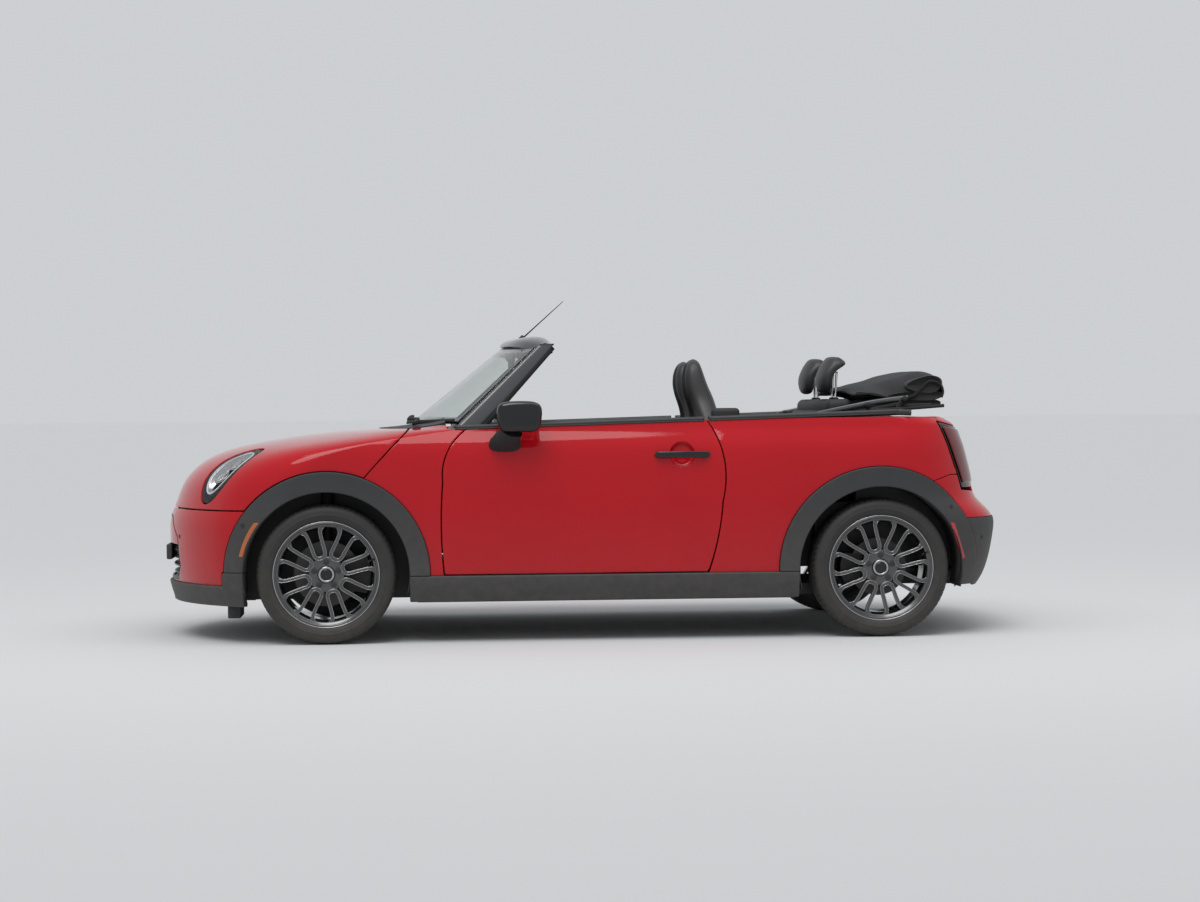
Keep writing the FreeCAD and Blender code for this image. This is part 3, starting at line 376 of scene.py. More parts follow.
def makeGrainGroup():
    # moulded grain: fine cells over soft patches, as a normal, a patch mask and a roughness
    tree, given, result = newGroup("mouldedGrain", [("Grain size", "Float", .001), ("Depth", "Float", .3),
        ("Roughness", "Float", .6), ("Patchiness", "Float", .06)], [("Normal", "Vector", None),
        ("Patch", "Float", None), ("Roughness", "Float", None)])
    cells = addNode(tree, "TexVoronoi", feature="SMOOTH_F1", Vector=given["Coordinate"],
        Scale=mathNode(tree, "DIVIDE", 1.0, given["Grain size"]))
    patch = noise(tree, given["Coordinate"], 7, 5)
    away = mathNode(tree, "SUBTRACT", patch, .5)
    put(result["Normal"], bumps(tree, cells.outputs["Distance"], given["Depth"], .0004))
    put(result["Patch"], patch)
    put(result["Roughness"], mathNode(tree, "MULTIPLY_ADD", away, given["Patchiness"], given["Roughness"]))
    return tree


def makeDustGroup():
    # road dust that gathers low on the car and thins out upwards
    tree, given, result = newGroup("roadDust", [("Clean above", "Float", .5), ("Amount", "Float", .3)],
        [("Mask", "Float", None)])
    height = mathNode(tree, "DIVIDE", axes(tree, given["Coordinate"])["Z"], given["Clean above"])
    low = mathNode(tree, "MAXIMUM", mathNode(tree, "SUBTRACT", 1.0, height), 0.0)
    spotted = mathNode(tree, "MULTIPLY", low, noise(tree, given["Coordinate"], 22, 8, Roughness=.65))
    put(result["Mask"], mathNode(tree, "MULTIPLY", spotted, given["Amount"]))
    return tree


def makeWeaveGroup():
    # woven cloth: threads over and under, from crossed waves on the piece's own coordinates; the colour darkens where
    # the threads dip, which is painted shade in the weave's hollows, over a slow random tone
    tree, given, result = newGroup("wovenCloth", [("Thread", "Float", .0012), ("Depth", "Float", .5),
        ("Dark", "Color", None), ("Light", "Color", None)], [("Color", "Color", None), ("Normal", "Vector", None)])
    turn = mathNode(tree, "DIVIDE", math.pi, given["Thread"])
    parts = axes(tree, given["Coordinate"])
    waves = [mathNode(tree, "SINE", mathNode(tree, "MULTIPLY", parts[name], turn)) for name in "XYZ"]
    crossed = [mathNode(tree, "MULTIPLY", waves[a], waves[b]) for a, b in ((0, 1), (1, 2), (0, 2))]
    total = mathNode(tree, "ADD", mathNode(tree, "ADD", *crossed[:2]), crossed[2])
    height = mathNode(tree, "MULTIPLY_ADD", total, .3, .5)
    fade = mathNode(tree, "MULTIPLY_ADD", noise(tree, given["Coordinate"], 5, 6), .9, .1)
    # painted shade: darker where the threads lie low, times a slow random tone
    shade = mathNode(tree, "MULTIPLY", fade, height)
    put(result["Color"], mixColour(tree, shade, given["Dark"], given["Light"]))
    put(result["Normal"], bumps(tree, height, given["Depth"], .0005))
    return tree


grainGroup = makeGrainGroup()
dustGroup = makeDustGroup()
weaveGroup = makeWeaveGroup()


def useGroup(tree, group, **values):
    return addNode(tree, "Group", node_tree=group, Coordinate=objectPlace(tree), **values).outputs


def dusted(tree, base, cleanAbove, amount):
    if not amount:
        return base
    return mixColour(tree, useGroup(tree, dustGroup, Clean_above=cleanAbove, Amount=amount)["Mask"], base, dustColour)


def paintMaterial(name, colour, deep, dust=.12):
    # solid colour under clear lacquer, with faint flow in both and dust low down
    made, tree, shader = material(name, rough=.5, coat=1.0, coatRough=.02, coatIor=1.36, specular=.05)
    place = objectPlace(tree)
    paint = mixColour(tree, noise(tree, place, 2.4, 3), deep, colour)
    setValues(shader, base=dusted(tree, paint, .62, dust), coatNormal=bumps(tree, noise(tree, place, 260, 1), .05,
        .0006))
    return made


def mouldedMaterial(name, colour, rough=.6, grain=.0011, depth=.3, dust=0.0, coat=0.0, patch=.08, **more):
    # plastic, rubber or leather with a moulded grain, paler patches and some dust
    made, tree, shader = material(name, coat=coat, coatRough=.08, **more)
    grains = useGroup(tree, grainGroup, Grain_size=grain, Depth=depth, Roughness=rough, Patchiness=patch)
    base = mixColour(tree, grains["Patch"], tuple(value * .84 for value in colour), tuple(min(1.0, value * 1.22 + .002)
        for value in colour))
    setValues(shader, base=dusted(tree, base, .75, dust), rough=grains["Roughness"], normal=grains["Normal"])
    return made


def clothMaterial(name, dark, light, thread=.0013, depth=.5, sheen=.25):
    made, tree, shader = material(name, rough=.88, sheen=sheen, sheenRough=.5, sheenTint=(.6, .6, .62))
    # the weave's darker colour falls in its hollows as painted shade
    weave = useGroup(tree, weaveGroup, Thread=thread, Depth=depth, Dark=dark, Light=light)
    setValues(shader, base=weave["Color"], normal=weave["Normal"])
    return made


def metalMaterial(name, colour, rough=.3, dust=0.0, streak=.05, coat=0.0, metal=1.0):
    # bare or painted metal with fine uneven polish
    made, tree, shader = material(name, metal=metal, coat=coat, coatRough=.06)
    polish = noise(tree, objectPlace(tree), 90, 6)
    base = mixColour(tree, polish, tuple(value * .86 for value in colour), tuple(min(1.0, value * 1.12)
        for value in colour))
    setValues(shader, base=dusted(tree, base, .8, dust), rough=spread(tree, polish, To_Min=max(.02, rough - streak),
        To_Max=rough + streak))
    return made


redPaint = paintMaterial("red_paint", (.46, .0014, .0085), (.39, .001, .006))
blackGloss = mouldedMaterial("gloss_black", (.0035, .0035, .004), rough=.3, depth=0.0, coat=.85, specular=.1)
pillarPaint = mouldedMaterial("pillar_grey", (.03, .033, .037), rough=.35, depth=0.0, coat=1.0, patch=.02)
trimPlastic = mouldedMaterial("trim_plastic", (.024, .025, .027), rough=.62, grain=.0012, depth=.45, dust=.5)
darkPlastic = mouldedMaterial("dark_plastic", (.012, .012, .013), rough=.7, dust=.3)
cabinPlastic = mouldedMaterial("cabin_plastic", (.016, .016, .017), rough=.66, grain=.0016, depth=.5)
rubberSeal = mouldedMaterial("rubber_seal", (.01, .01, .01), rough=.8, depth=.1)
tyreRubber = mouldedMaterial("tyre_rubber", (.0115, .0112, .011), rough=.62, grain=.0014, depth=.2, dust=.28)
seatLeather = mouldedMaterial("seat_leather", (.024, .0235, .0245), rough=.46, grain=.0022, depth=.5)
softTopCloth = clothMaterial("soft_top_cloth", (.006, .006, .0062), (.022, .022, .023), sheen=.12)
beltCloth = clothMaterial("belt_cloth", (.012, .012, .012), (.03, .03, .03), thread=.0016, depth=.4)
rimMetal = metalMaterial("rim_metal", (.085, .086, .088), rough=.24, coat=.8, dust=.1, metal=.9)
discMetal = metalMaterial("disc_metal", (.085, .083, .08), rough=.45, dust=.15, metal=.8)
castMetal = metalMaterial("cast_metal", (.085, .085, .088), rough=.6, dust=.35)
chassisMetal = metalMaterial("chassis_metal", (.022, .022, .023), rough=.6, dust=.45, metal=.5)
brightMetal = metalMaterial("bright_metal", (.75, .75, .76), rough=.12, streak=.02)
greyStrip = metalMaterial("strip_grey", (.11, .115, .12), rough=.35, metal=.6, coat=.4)
screenGlass = material("screen_glass", base=(.93, .97, .95), rough=0.0, ior=1.45, clear=1.0)[0]
lampGlass = material("lamp_glass", base=(.98, .985, .99), rough=0.0, ior=1.18, clear=1.0)[0]
redGlass = mouldedMaterial("tail_red", (.115, .0035, .006), rough=.22, depth=0.0, coat=.6, specular=.2)
amberGlass = mouldedMaterial("amber_lens", (.4, .085, .004), rough=.2, depth=0.0, coat=1.0)
redLens = mouldedMaterial("red_lens", (.42, .006, .01), rough=.2, depth=0.0, coat=1.0)
lampWhite = mouldedMaterial("lamp_white", (.8, .82, .84), rough=.25, depth=0.0, coat=.6)
plateBlank = mouldedMaterial("plate_blank", (.62, .62, .6), rough=.35, grain=.002, depth=.1, coat=.5)
print("materials ready")


# floor, backdrop light and lamps
studio = {
    "skyColour": (.95, .975, 1.0), "skyStrength": .64, "floorSize": 400.0,
    "lamps": [  # name, kind, place, aimed at, settings
        ("softSun", "SUN", (-2.0, -5.0, 9.0), (0, 0, 0), {"energy": 1.15, "angle": .6}),
        ("roofPanel", "AREA", (.2, -1.6, 5.0), (0, 0, .5),
         {"energy": 70, "shape": "RECTANGLE", "size": 6.5, "size_y": 2.2})]}


def makeStudio():
    world = bpy.data.worlds.new("studio")
    bpy.context.scene.world = world
    world.use_nodes = True
    background = world.node_tree.nodes["Background"]
    put(background.inputs["Color"], studio["skyColour"])
    put(background.inputs["Strength"], studio["skyStrength"])
    for name, kind, place, aim, settings in studio["lamps"]:
        data = bpy.data.lights.new(name, kind)
        for setting, value in settings.items():
            setattr(data, setting, value)
        lamp = bpy.data.objects.new(name, data)
        lamp.location = place
        lamp.rotation_euler = (Vector(aim) - Vector(place)).to_track_quat("-Z", "Y").to_euler()
        bpy.context.collection.objects.link(lamp)
    made, tree, shader = material("floor_grey", rough=.85, specular=.1)
    setValues(shader, base=mixColour(tree, noise(tree, objectPlace(tree), 180, 8), (.595, .6, .605),
        (.677, .682, .687)))
    points = studio["floorSize"] * np.array([(-1, -1, 0), (1, -1, 0), (1, 1, 0), (-1, 1, 0)], float)
    floor = addMesh("floor", (points, [np.array([[0, 1, 2, 3]])]), made, None, smooth=False)


makeStudio()
print("studio ready")


# the body's form: level outlines from the underside up, as set-backs from the nose, side and tail
bodyLevels = np.array([
    # z, nose, reach, corner, tuck, tail, reach, corner, in millimetres
    (180, 32, 560, 380, 57, 92, 445, 400), (250, 12, 560, 390, 22, 50, 445, 400),
    (350, 2, 560, 400, 9, 18, 442, 400), (460, 0, 560, 400, 4, 0, 440, 400),
    (540, 3, 560, 400, 1, 7, 440, 400), (620, 30, 560, 400, 0, 77, 440, 397),
    (700, 62, 560, 400, 1, 98, 440, 394), (780, 125, 560, 400, 4, 115, 438, 390),
    (850, 245, 560, 400, 12, 133, 424, 374), (895, 417, 560, 400, 27, 148, 402, 350),
    (930, 647, 560, 400, 45, 162, 376, 324), (950, 857, 500, 380, 55, 174, 360, 309),
    (970, 1110, 400, 350, 62, 198, 348, 298), (1012, 1230, 400, 350, 77, 268, 338, 288),
]) / 1000


def naturalSpline(knots, values, at):
    # the smoothest curve through the values: its second derivatives come from one linear system
    count = len(knots)
    h = np.diff(knots)
    slopes = np.diff(values, axis=0) / h[:, None]
    system = np.eye(count)
    k = np.arange(1, count - 1)
    system[k, k - 1], system[k, k], system[k, k + 1] = h[:-1], 2 * (h[:-1] + h[1:]), h[1:]
    right = np.zeros_like(values)
    right[1:-1] = 6 * np.diff(slopes, axis=0)
    bend = np.linalg.solve(system, right)
    cell = np.clip(np.searchsorted(knots, at) - 1, 0, count - 2)
    t, step = (at - knots[cell])[:, None], h[cell][:, None]
    a, b = bend[cell], bend[cell + 1]
    return (values[cell] + t * (slopes[cell] - step * (2 * a + b) / 6) + t ** 2 * a / 2 + t ** 3 * (b - a)
        / (6 * step))


def levelKnots():
    # distance along the skin between levels: the mean of its runs at the nose, the side and the tail
    runs = [np.hypot(np.diff(bodyLevels[:, 0]), np.diff(bodyLevels[:, column])) for column in (1, 4, 5)]
    return np.concatenate([[0], np.cumsum(sum(runs) / 3)])


skinKnots = levelKnots()
skinSpots = np.linspace(0, skinKnots[-1], 900)
skinTable = naturalSpline(skinKnots, bodyLevels, skinSpots)


def levelAt(z):
    # the eight level values at any height
    place = np.interp(z, skinTable[:, 0], skinSpots)
    return naturalSpline(skinKnots, bodyLevels, place.ravel()).reshape(*np.shape(z), 8)


bodyEnds = (nose, 1, 1), (tail, -1, 5)  # end, way inwards and first column in the level's values


def levelEnd(level, first, inset=0.0):
    # half width, set-back, reach, corner radius and the wide arc's radius that joins them
    side = halfWidth - level[..., 4] - inset
    back, reach, corner = (level[..., first + k] for k in range(3))
    return side, back, reach, corner, (reach ** 2 + side ** 2 - 2 * side * corner) / (2 * (reach - corner))


def levelPoint(share, z):
    # a point of the left half outline at height z: share runs 0 to 1 over the nose's wide arc, to 2 over its
    # corner, to 3 along the side, to 4 over the tail's corner and to 5 over its wide arc
    level = levelAt(z)
    x, y, sideEnds = 0, 0, []
    for end, way, first in bodyEnds:
        side, back, reach, corner, wide = levelEnd(level, first)
        start = end + way * back
        centreX, centreY = start + way * reach, side - corner
        spread = np.arctan2(centreY, -way * (centreX - (start + way * wide)))
        local = share if way == 1 else 5 - share
        onWide = local <= 1
        onCorner = (local > 1) & (local <= 2)
        turn = spread * np.clip(local, 0, 1)
        wideX, wideY = start + way * wide * (1 - np.cos(turn)), wide * np.sin(turn)
        turn = spread + (np.pi / 2 - spread) * np.clip(local - 1, 0, 1)
        cornerX, cornerY = centreX - way * corner * np.cos(turn), centreY + corner * np.sin(turn)
        x = np.where(onWide, wideX, np.where(onCorner, cornerX, x))
        y = np.where(onWide, wideY, np.where(onCorner, cornerY, y))
        sideEnds.append(centreX)
    straight = (share > 2) & (share <= 3)
    x = np.where(straight, sideEnds[0] + (sideEnds[1] - sideEnds[0]) * np.clip(share - 2, 0, 1), x)
    y = np.where(straight, side, y)
    return stacked(x, -y, z)


def sidePoint(x, z):
    # the point of the left side at a given x and z
    level = levelAt(z)
    y = halfWidth - level[..., 4]
    for end, way, first in bodyEnds:
        side, back, reach, corner, wide = levelEnd(level, first)
        inX = way * (x - (end + way * back))
        centreY = side - corner
        ratio = (reach - wide) / np.hypot(reach - wide, centreY)
        meet = wide + wide * ratio
        onCorner = (inX < reach) & (inX >= meet)
        cornerY = centreY + np.sqrt(np.maximum(corner ** 2 - (inX - reach) ** 2, 0))
        wideY = np.sqrt(np.maximum(wide ** 2 - (inX - wide) ** 2, 0))
        y = np.where(onCorner, cornerY, np.where(inX < meet, wideY, y))
    return stacked(x, -y, z)


def sideNormal(x, z, step=.004):
    # the point of the left side at one place and its outward normal
    middle, beside, above = (sidePoint(x + right, z + up) for right, up in ((0, 0), (step, 0), (0, step)))
    normal = unit(np.cross(beside - middle, above - middle))
    return middle, normal if normal[1] < 0 else -normal


def gridNormals(points):
    # outward normals of a rows by columns grid on the left half of the car
    normals = unit(np.cross(np.gradient(points, axis=0), np.gradient(points, axis=1)))
    middle = points.reshape(-1, 3).mean(0) - np.array([0.0, 0.0, .55])
    outwards = (normals.reshape(-1, 3) * middle).sum(-1).mean()
    return normals if outwards > 0 else -normals


def arcLine(spots, step=.012):
    # a line through a table of spots, in which four numbers are an arc's middle and its end
    line = [np.array([spots[0][-2:]], float)]
    for spot in spots[1:]:
        a = line[-1][-1]
        if len(spot) == 2:
            line.append(np.array([spot], float))
            continue
        m, b = np.array(spot[:2], float), np.array(spot[2:], float)
        d = 2 * (a[0] * (m[1] - b[1]) + m[0] * (b[1] - a[1]) + b[0] * (a[1] - m[1]))
        square = [(p ** 2).sum() for p in (a, m, b)]
        cx = (square[0] * (m[1] - b[1]) + square[1] * (b[1] - a[1]) + square[2] * (a[1] - m[1])) / d
        cy = (square[0] * (b[0] - m[0]) + square[1] * (a[0] - b[0]) + square[2] * (m[0] - a[0])) / d
        centre = np.array([cx, cy])
        begin, half, end = (math.atan2(*(p - centre)[::-1]) for p in (a, m, b))
        turn = (end - begin) % (2 * math.pi)
        if (half - begin) % (2 * math.pi) > turn:
            turn -= 2 * math.pi
        radius = np.linalg.norm(a - centre)
        count = max(3, int(abs(turn) * radius / step))
        angle = begin + turn * np.linspace(0, 1, count + 1)[1:]
        line.append(centre + radius * stacked(np.cos(angle), np.sin(angle)))
    return np.concatenate(line)


def insideBy(line, spots):
    # distance of each spot to a closed line of corners, negative inside it
    best = np.full(len(spots), np.inf)
    inside = np.zeros(len(spots), bool)
    for start, end in zip(line, np.roll(line, -1, axis=0)):
        run = end - start
        length = (run ** 2).sum()
        if length < 1e-14:
            continue
        t = np.clip(((spots - start) @ run) / length, 0, 1)
        best = np.minimum(best, ((spots - start - t[:, None] * run) ** 2).sum(1))
        crosses = (start[1] > spots[:, 1]) != (end[1] > spots[:, 1])
        with np.errstate(divide="ignore", invalid="ignore"):
            at = (end[0] - start[0]) * (spots[:, 1] - start[1]) / (end[1] - start[1]) + start[0]
        inside ^= crosses & (spots[:, 0] < at)
    return np.where(inside, -1, 1) * np.sqrt(best)


def lineEdge(axes, spots, grow=0.0):
    # an edge drawn in two of the axes: a closed line of corners and arcs
    line = arcLine(spots)
    return lambda points: insideBy(line, points[:, axes]) - grow


def fromSide(*line, **more):
    return lineEdge([0, 2], *line, **more)


def sideBox(x, first, last, low, high):
    # an oblong in side view, its two ends counted from x
    return fromSide([(x + first, low), (x + last, low), (x + last, high), (x + first, high)])


def topBox(half):
    # an oblong in top view round the middle of the tail
    return fromTop([(tail, -half), (tail, half), (rearAxle, half), (rearAxle, -half)])


def frontBox(half, low, high):
    return fromFront([(-half, low), (half, low), (half, high), (-half, high)])


def fromTop(*line, **more):
    return lineEdge([0, 1], *line, **more)


def fromFront(*line, **more):
    return lineEdge([1, 2], *line, **more)


def outsideArch(axle, radius):
    # keeps what lies outside a wheel arch, which is round above the axle and straight below
    return lambda points: radius - np.hypot(points[:, 0] - axle, np.maximum(points[:, 2] - (wheelHeight - .004), 0))


def insideArch(axle, radius):
    return notInside(outsideArch(axle, radius))


def notInside(edge):
    return lambda points: -edge(points)


def beyond(axis, value, way):
    # keeps what lies past a value on an axis: way 1 keeps more, way -1 keeps less
    return lambda points: way * (value - points[:, axis])


def trimmed(points, normals, triangles, level):
    # keeps the side of each triangle where the level is negative, cutting the edges where it crosses zero
    level = np.where(np.abs(level) < 2e-5, 2e-5, level)
    inside = level < 0
    count = inside[triangles].sum(1)
    kept = [triangles[count == 3]]
    cutPairs = []
    for number in (1, 2):
        cells = triangles[count == number]
        if not len(cells):
            continue
        odd = inside[cells] if number == 1 else ~inside[cells]
        first = odd.argmax(1)
        rows = np.arange(len(cells))
        lone, second, third = (cells[rows, (first + k) % 3] for k in range(3))
        cutPairs.append((number, lone, second, third))
    if not cutPairs:
        return points, normals, kept[0]
    pairs = np.concatenate([stacked(lone, other) for _, lone, b, c in cutPairs for other in (b, c)])
    ordered = np.sort(pairs, axis=1)
    unique, index = np.unique(ordered, axis=0, return_inverse=True)
    index = index.reshape(-1) + len(points)
    a, b = unique[:, 0], unique[:, 1]
    share = (level[a] / (level[a] - level[b]))[:, None]
    points = np.concatenate([points, points[a] + (points[b] - points[a]) * share])
    normals = np.concatenate([normals, unit(normals[a] + (normals[b] - normals[a]) * share)])
    start = 0
    for number, lone, second, third in cutPairs:
        size = len(lone)
        toSecond, toThird = index[start:start + size], index[start + size:start + 2 * size]
        start += 2 * size
        if number == 1:
            kept.append(stacked(lone, toSecond, toThird))
        else:
            kept.append(stacked(toSecond, second, third))
            kept.append(stacked(toSecond, third, toThird))
    triangles = np.concatenate(kept)
    used, back = np.unique(triangles, return_inverse=True)
    return points[used], normals[used], back.reshape(-1, 3)


def thickened(points, normals, triangles, thick, radius=.0025, inner=None):
    # a panel: the surface, a rounded rim along its free edge, a wall inwards and the same surface behind
    a, b, c = points[triangles[:, 0]], points[triangles[:, 1]], points[triangles[:, 2]]
    facing = (np.cross(b - a, c - a) * normals[triangles[:, 0]]).sum(1)
    triangles = np.where(facing[:, None] < 0, triangles[:, ::-1], triangles)
    sides = np.concatenate([triangles[:, [0, 1]], triangles[:, [1, 2]], triangles[:, [2, 0]]])
    codes = sides[:, 0].astype(np.int64) * len(points) + sides[:, 1]
    reverse = sides[:, 1].astype(np.int64) * len(points) + sides[:, 0]
    free = sides[~np.isin(codes, reverse)]
    run = unit(points[free[:, 1]] - points[free[:, 0]])
    out = np.zeros_like(points)
    push = np.cross(run, normals[free[:, 0]])
    np.add.at(out, free[:, 0], push)
    np.add.at(out, free[:, 1], push)
    rim = np.unique(free)
    out = unit(out[rim])
    spot = np.full(len(points), -1)
    spot[rim] = np.arange(len(rim))
    rings = []
    for turn in (.35, .7, 1.0):
        angle = turn * math.pi / 2
        rings.append(points[rim] + out * radius * math.sin(angle) - normals[rim] * radius * (1 - math.cos(angle)))
    behind = points - normals * thick if inner is None else inner(points, normals)
    rings.append(behind[rim] + out * radius)
    count = len(points)
    everything = np.concatenate([points] + rings + [behind])
    behindStart = count + len(rings) * len(rim)
    faces = [triangles, triangles[:, ::-1] + behindStart]
    starts = [None] + [count + k * len(rim) for k in range(len(rings))] + [None]
    for k in range(len(rings) + 1):
        upper = [free[:, i] if k == 0 else spot[free[:, i]] + starts[k] for i in (0, 1)]
        lower = [free[:, i] + behindStart if k == len(rings) else spot[free[:, i]] + starts[k + 1] for i in (0, 1)]
        faces.append(stacked(upper[1], upper[0], lower[0], lower[1]))
    return everything, faces


def cutPatch(points, edges, offset=0.0, thick=.018, inset=.0025, inner=None, shape=None):
    normals = gridNormals(points)
    if shape:
        points = points + normals * shape(points)[..., None]
        normals = gridNormals(points)
    points = points + normals * offset
    rows, columns = points.shape[:2]
    quads = gridQuads(rows, columns)
    triangles = np.concatenate([quads[:, [0, 1, 2]], quads[:, [0, 2, 3]]])
    flat, flatNormals = points.reshape(-1, 3), normals.reshape(-1, 3)
    for edge in edges:
        if not len(triangles):
            break
        flat, flatNormals, triangles = trimmed(flat, flatNormals, triangles, edge(flat) + inset)
    return thickened(flat, flatNormals, triangles, thick, inset, inner)


def sideShares(x, z):
    # the grid of side points over given x and z lines
    return sidePoint(*gridOf(x, z))


def spaced(first, last, step):
    return np.linspace(first, last, max(2, int(round(abs(last - first) / step)) + 1))


# shut lines, the same as the panels' own in the frame
doorFront = frontAxle + .522
doorRear = frontAxle + 1.783
bumperLine = .599
archRadius = .371
trimRadius = .463
sillTop = .3
beltStart = frontAxle + .544


def doorLine(grow=0.0):
    low = .306 - grow
    front, rear = doorFront - grow, doorRear + grow
    return [(front + .006, low), (front - .006, .52, front + .002, .72), (front + .022, .85, front + .098, .945),
        (front + .16, 1.03), (rear - .095, 1.03), (rear - .07, .985), (rear + .003, .79, rear - .008, .62),
        (rear - .03, .46, rear - .074, low)]


aboveBelt = [(beltStart, .958), (doorRear - .07, .988), (rearAxle + .105, 1.014), (rearAxle + .24, 1.01, tail - .3,
    .99), (tail + .05, .986), (tail + .05, 1.3), (beltStart - .09, 1.3)]
bonnetSide = [(nose - .06, bumperLine + .003), (frontAxle, bumperLine + .003), (frontAxle + .05, .603),
    (frontAxle + .171, .746), (frontAxle + .262, .846, frontAxle + .356, .944), (frontAxle + .47, 1.08),
    (nose - .06, 1.08)]
bonnetTop = [(frontAxle + .225, 0), (frontAxle + .26, .33, frontAxle + .376, .62), (frontAxle + .48, .9),
    (nose - .06, .9), (nose - .06, -.9), (frontAxle + .48, -.9), (frontAxle + .376, -.62),
    (frontAxle + .26, -.33, frontAxle + .225, 0)]
bumperRear = [(rearAxle + .25, .7), (rearAxle + .334, .727), (tail + .06, .727), (tail + .06, .1),
    (rearAxle + .25, .1)]
tailLampLine = [(tail - .343, .972), (tail - .302, .88, tail - .274, .8), (tail - .25, .735, tail - .228, .66),
    (tail - .06, .64), (tail - .06, .93), (tail - .254, .951)]
grilleLine = [(-.24, .56), (-.376, .47), (-.4, .33), (-.344, .268), (.344, .268), (.4, .33), (.376, .47), (.24, .56)]
pipe = {"y": .25, "z": .248, "hole": .04}
tailgate = {"half": .56, "low": .622, "high": .952, "slope": .8, "thick": .062}


def tailgateLine(grow=0.0):
    low, high = tailgate["low"] - grow, tailgate["high"] + grow * 1.2
    return [(tail - .42, low), (tail + .05, low), (tail + .05, high + .225 * tailgate["slope"]),
        (tail - .42, high - .245 * tailgate["slope"])]


# the headlamp's oval, set square to the skin where it sits
lampSpot = {"aim": (frontAxle - .453, .79), "length": .36, "height": .22, "gap": .004}


def lampFrame():
    # middle on the skin, outward normal, long axis and short axis of the left lamp
    middle, normal = sideNormal(*lampSpot["aim"])
    long = np.array([.66, 0.0, .73])
    long = unit(long - normal * (long @ normal))
    return middle, normal, long, np.cross(normal, long)


lampMiddle, lampNormal, lampLong, lampShort = lampFrame()


def lampOval(grow):
    # distance-like value from the lamp's outline, negative inside it, for points of the left half
    a, b = lampSpot["length"] / 2 + grow, lampSpot["height"] / 2 + grow

    def edge(points):
        away = stacked(points[:, 0], -np.abs(points[:, 1]), points[:, 2]) - lampMiddle
        return (np.hypot(away @ lampLong / a, away @ lampShort / b) - 1) * min(a, b)
    return edge


belowBelt = notInside(fromSide(aboveBelt))


def wholeWidth(reach, step):
    # share values from one side of the car to the other, 0 on the centre line
    half = spaced(0, reach, step)
    return np.concatenate([-half[:0:-1], half])


def fullPoints(shares, heights):
    share, z = gridOf(shares, heights)
    points = levelPoint(np.abs(share), z)
    points[..., 1] *= np.where(share < 0, -1, 1)
    return points


def rearPoints(reach, stepShare, heights):
    half = levelPoint(*gridOf(5 - spaced(0, reach, stepShare), heights))
    return np.concatenate([half[::-1], (half * [1, -1, 1])[1:]])


def makeBonnet():
    heights = levelZ(bumperLine, .972, .007)
    points = fullPoints(wholeWidth(2.35, .012), heights)
    edges = [fromSide(bonnetSide), fromTop(bonnetTop), outsideArch(frontAxle, trimRadius + .003),
        notInside(lampOval(lampSpot["gap"])), belowBelt]
    addMesh("bonnet_skin", cutPatch(points, edges, thick=.016), redPaint, "bonnet", ["bonnet"])


def levelZ(low, high, step):
    # heights whose spacing along the skin is about even, closer together where the skin lies flat
    fine = np.linspace(low, high, 600)
    level = levelAt(fine)
    run = np.hypot(np.gradient(fine), np.gradient(level[:, 1])) * .5 + np.gradient(fine) * .5
    distance = np.cumsum(run)
    count = int((distance[-1] - distance[0]) / step)
    return np.interp(np.linspace(distance[0], distance[-1], count), distance, fine)


def makeWings():
    points = sideShares(spaced(frontAxle - .02, doorFront + .15, .008), levelZ(sillTop - .01, .972, .006))
    edges = [notInside(fromSide(bonnetSide, grow=.0055)), notInside(fromSide(doorLine(.0055))),
        outsideArch(frontAxle, trimRadius), beyond(2, sillTop, 1), belowBelt, notInside(fromTop([(frontAxle - .1,
        -.64), (frontAxle + .376, -.64), (doorFront + .03, -.7), (doorFront + .2, -.7), (doorFront + .2, 0),
        (frontAxle - .1, 0)]))]
    addBoth("wing_skins", cutPatch(points, edges), redPaint, ["wings"])


def makeQuarters():
    points = levelPoint(*gridOf(np.concatenate([spaced(2.35, 3, .008), spaced(3, 4.6, .02)[1:]]),
        spaced(sillTop - .01, .992, .0075)))
    edges = [notInside(fromSide(doorLine(.0055))), beyond(0, doorRear - .1, 1), outsideArch(rearAxle, trimRadius),
        beyond(2, sillTop, 1), belowBelt, notInside(fromSide(tailLampLine, grow=.002)), notInside(fromSide(bumperRear,
        grow=.003)), beyond(1, -.6, -1)]
    addBoth("quarter_skins", cutPatch(points, edges), redPaint, ["quarter_panels"])


def makeDeck():
    points = rearPoints(1.7, .015, spaced(.9, .992, .0045))
    edges = [notInside(fromSide(tailgateLine(.0055))), belowBelt, topBox(.599)]
    addMesh("deck_skin", cutPatch(points, edges), redPaint, "body", ["rear_deck"])


def makeTailgate():
    points = rearPoints(1.2, .012, spaced(.61, .975, .006))
    edges = [fromSide(tailgateLine()), topBox(tailgate["half"])]
    addMesh("tailgate_skin", cutPatch(points, edges, thick=.04), redPaint, "tailgate", ["tailgate"])
    fine = rearPoints(.5, .004, spaced(.66, .9, .003))
    for name, box, proud, thick, look in (("plate_frame", (.182, .668, .802), .006, .009, trimPlastic),
            ("plate_blank", (.172, .679, .791), .008, .004, plateBlank), ("tailgate_handle", (.235, .822, .852), .008,
            .012, blackGloss)):
        addMesh(name, cutPatch(fine, [frontBox(*box)], offset=proud, thick=thick, inset=.003), look, "tailgate")


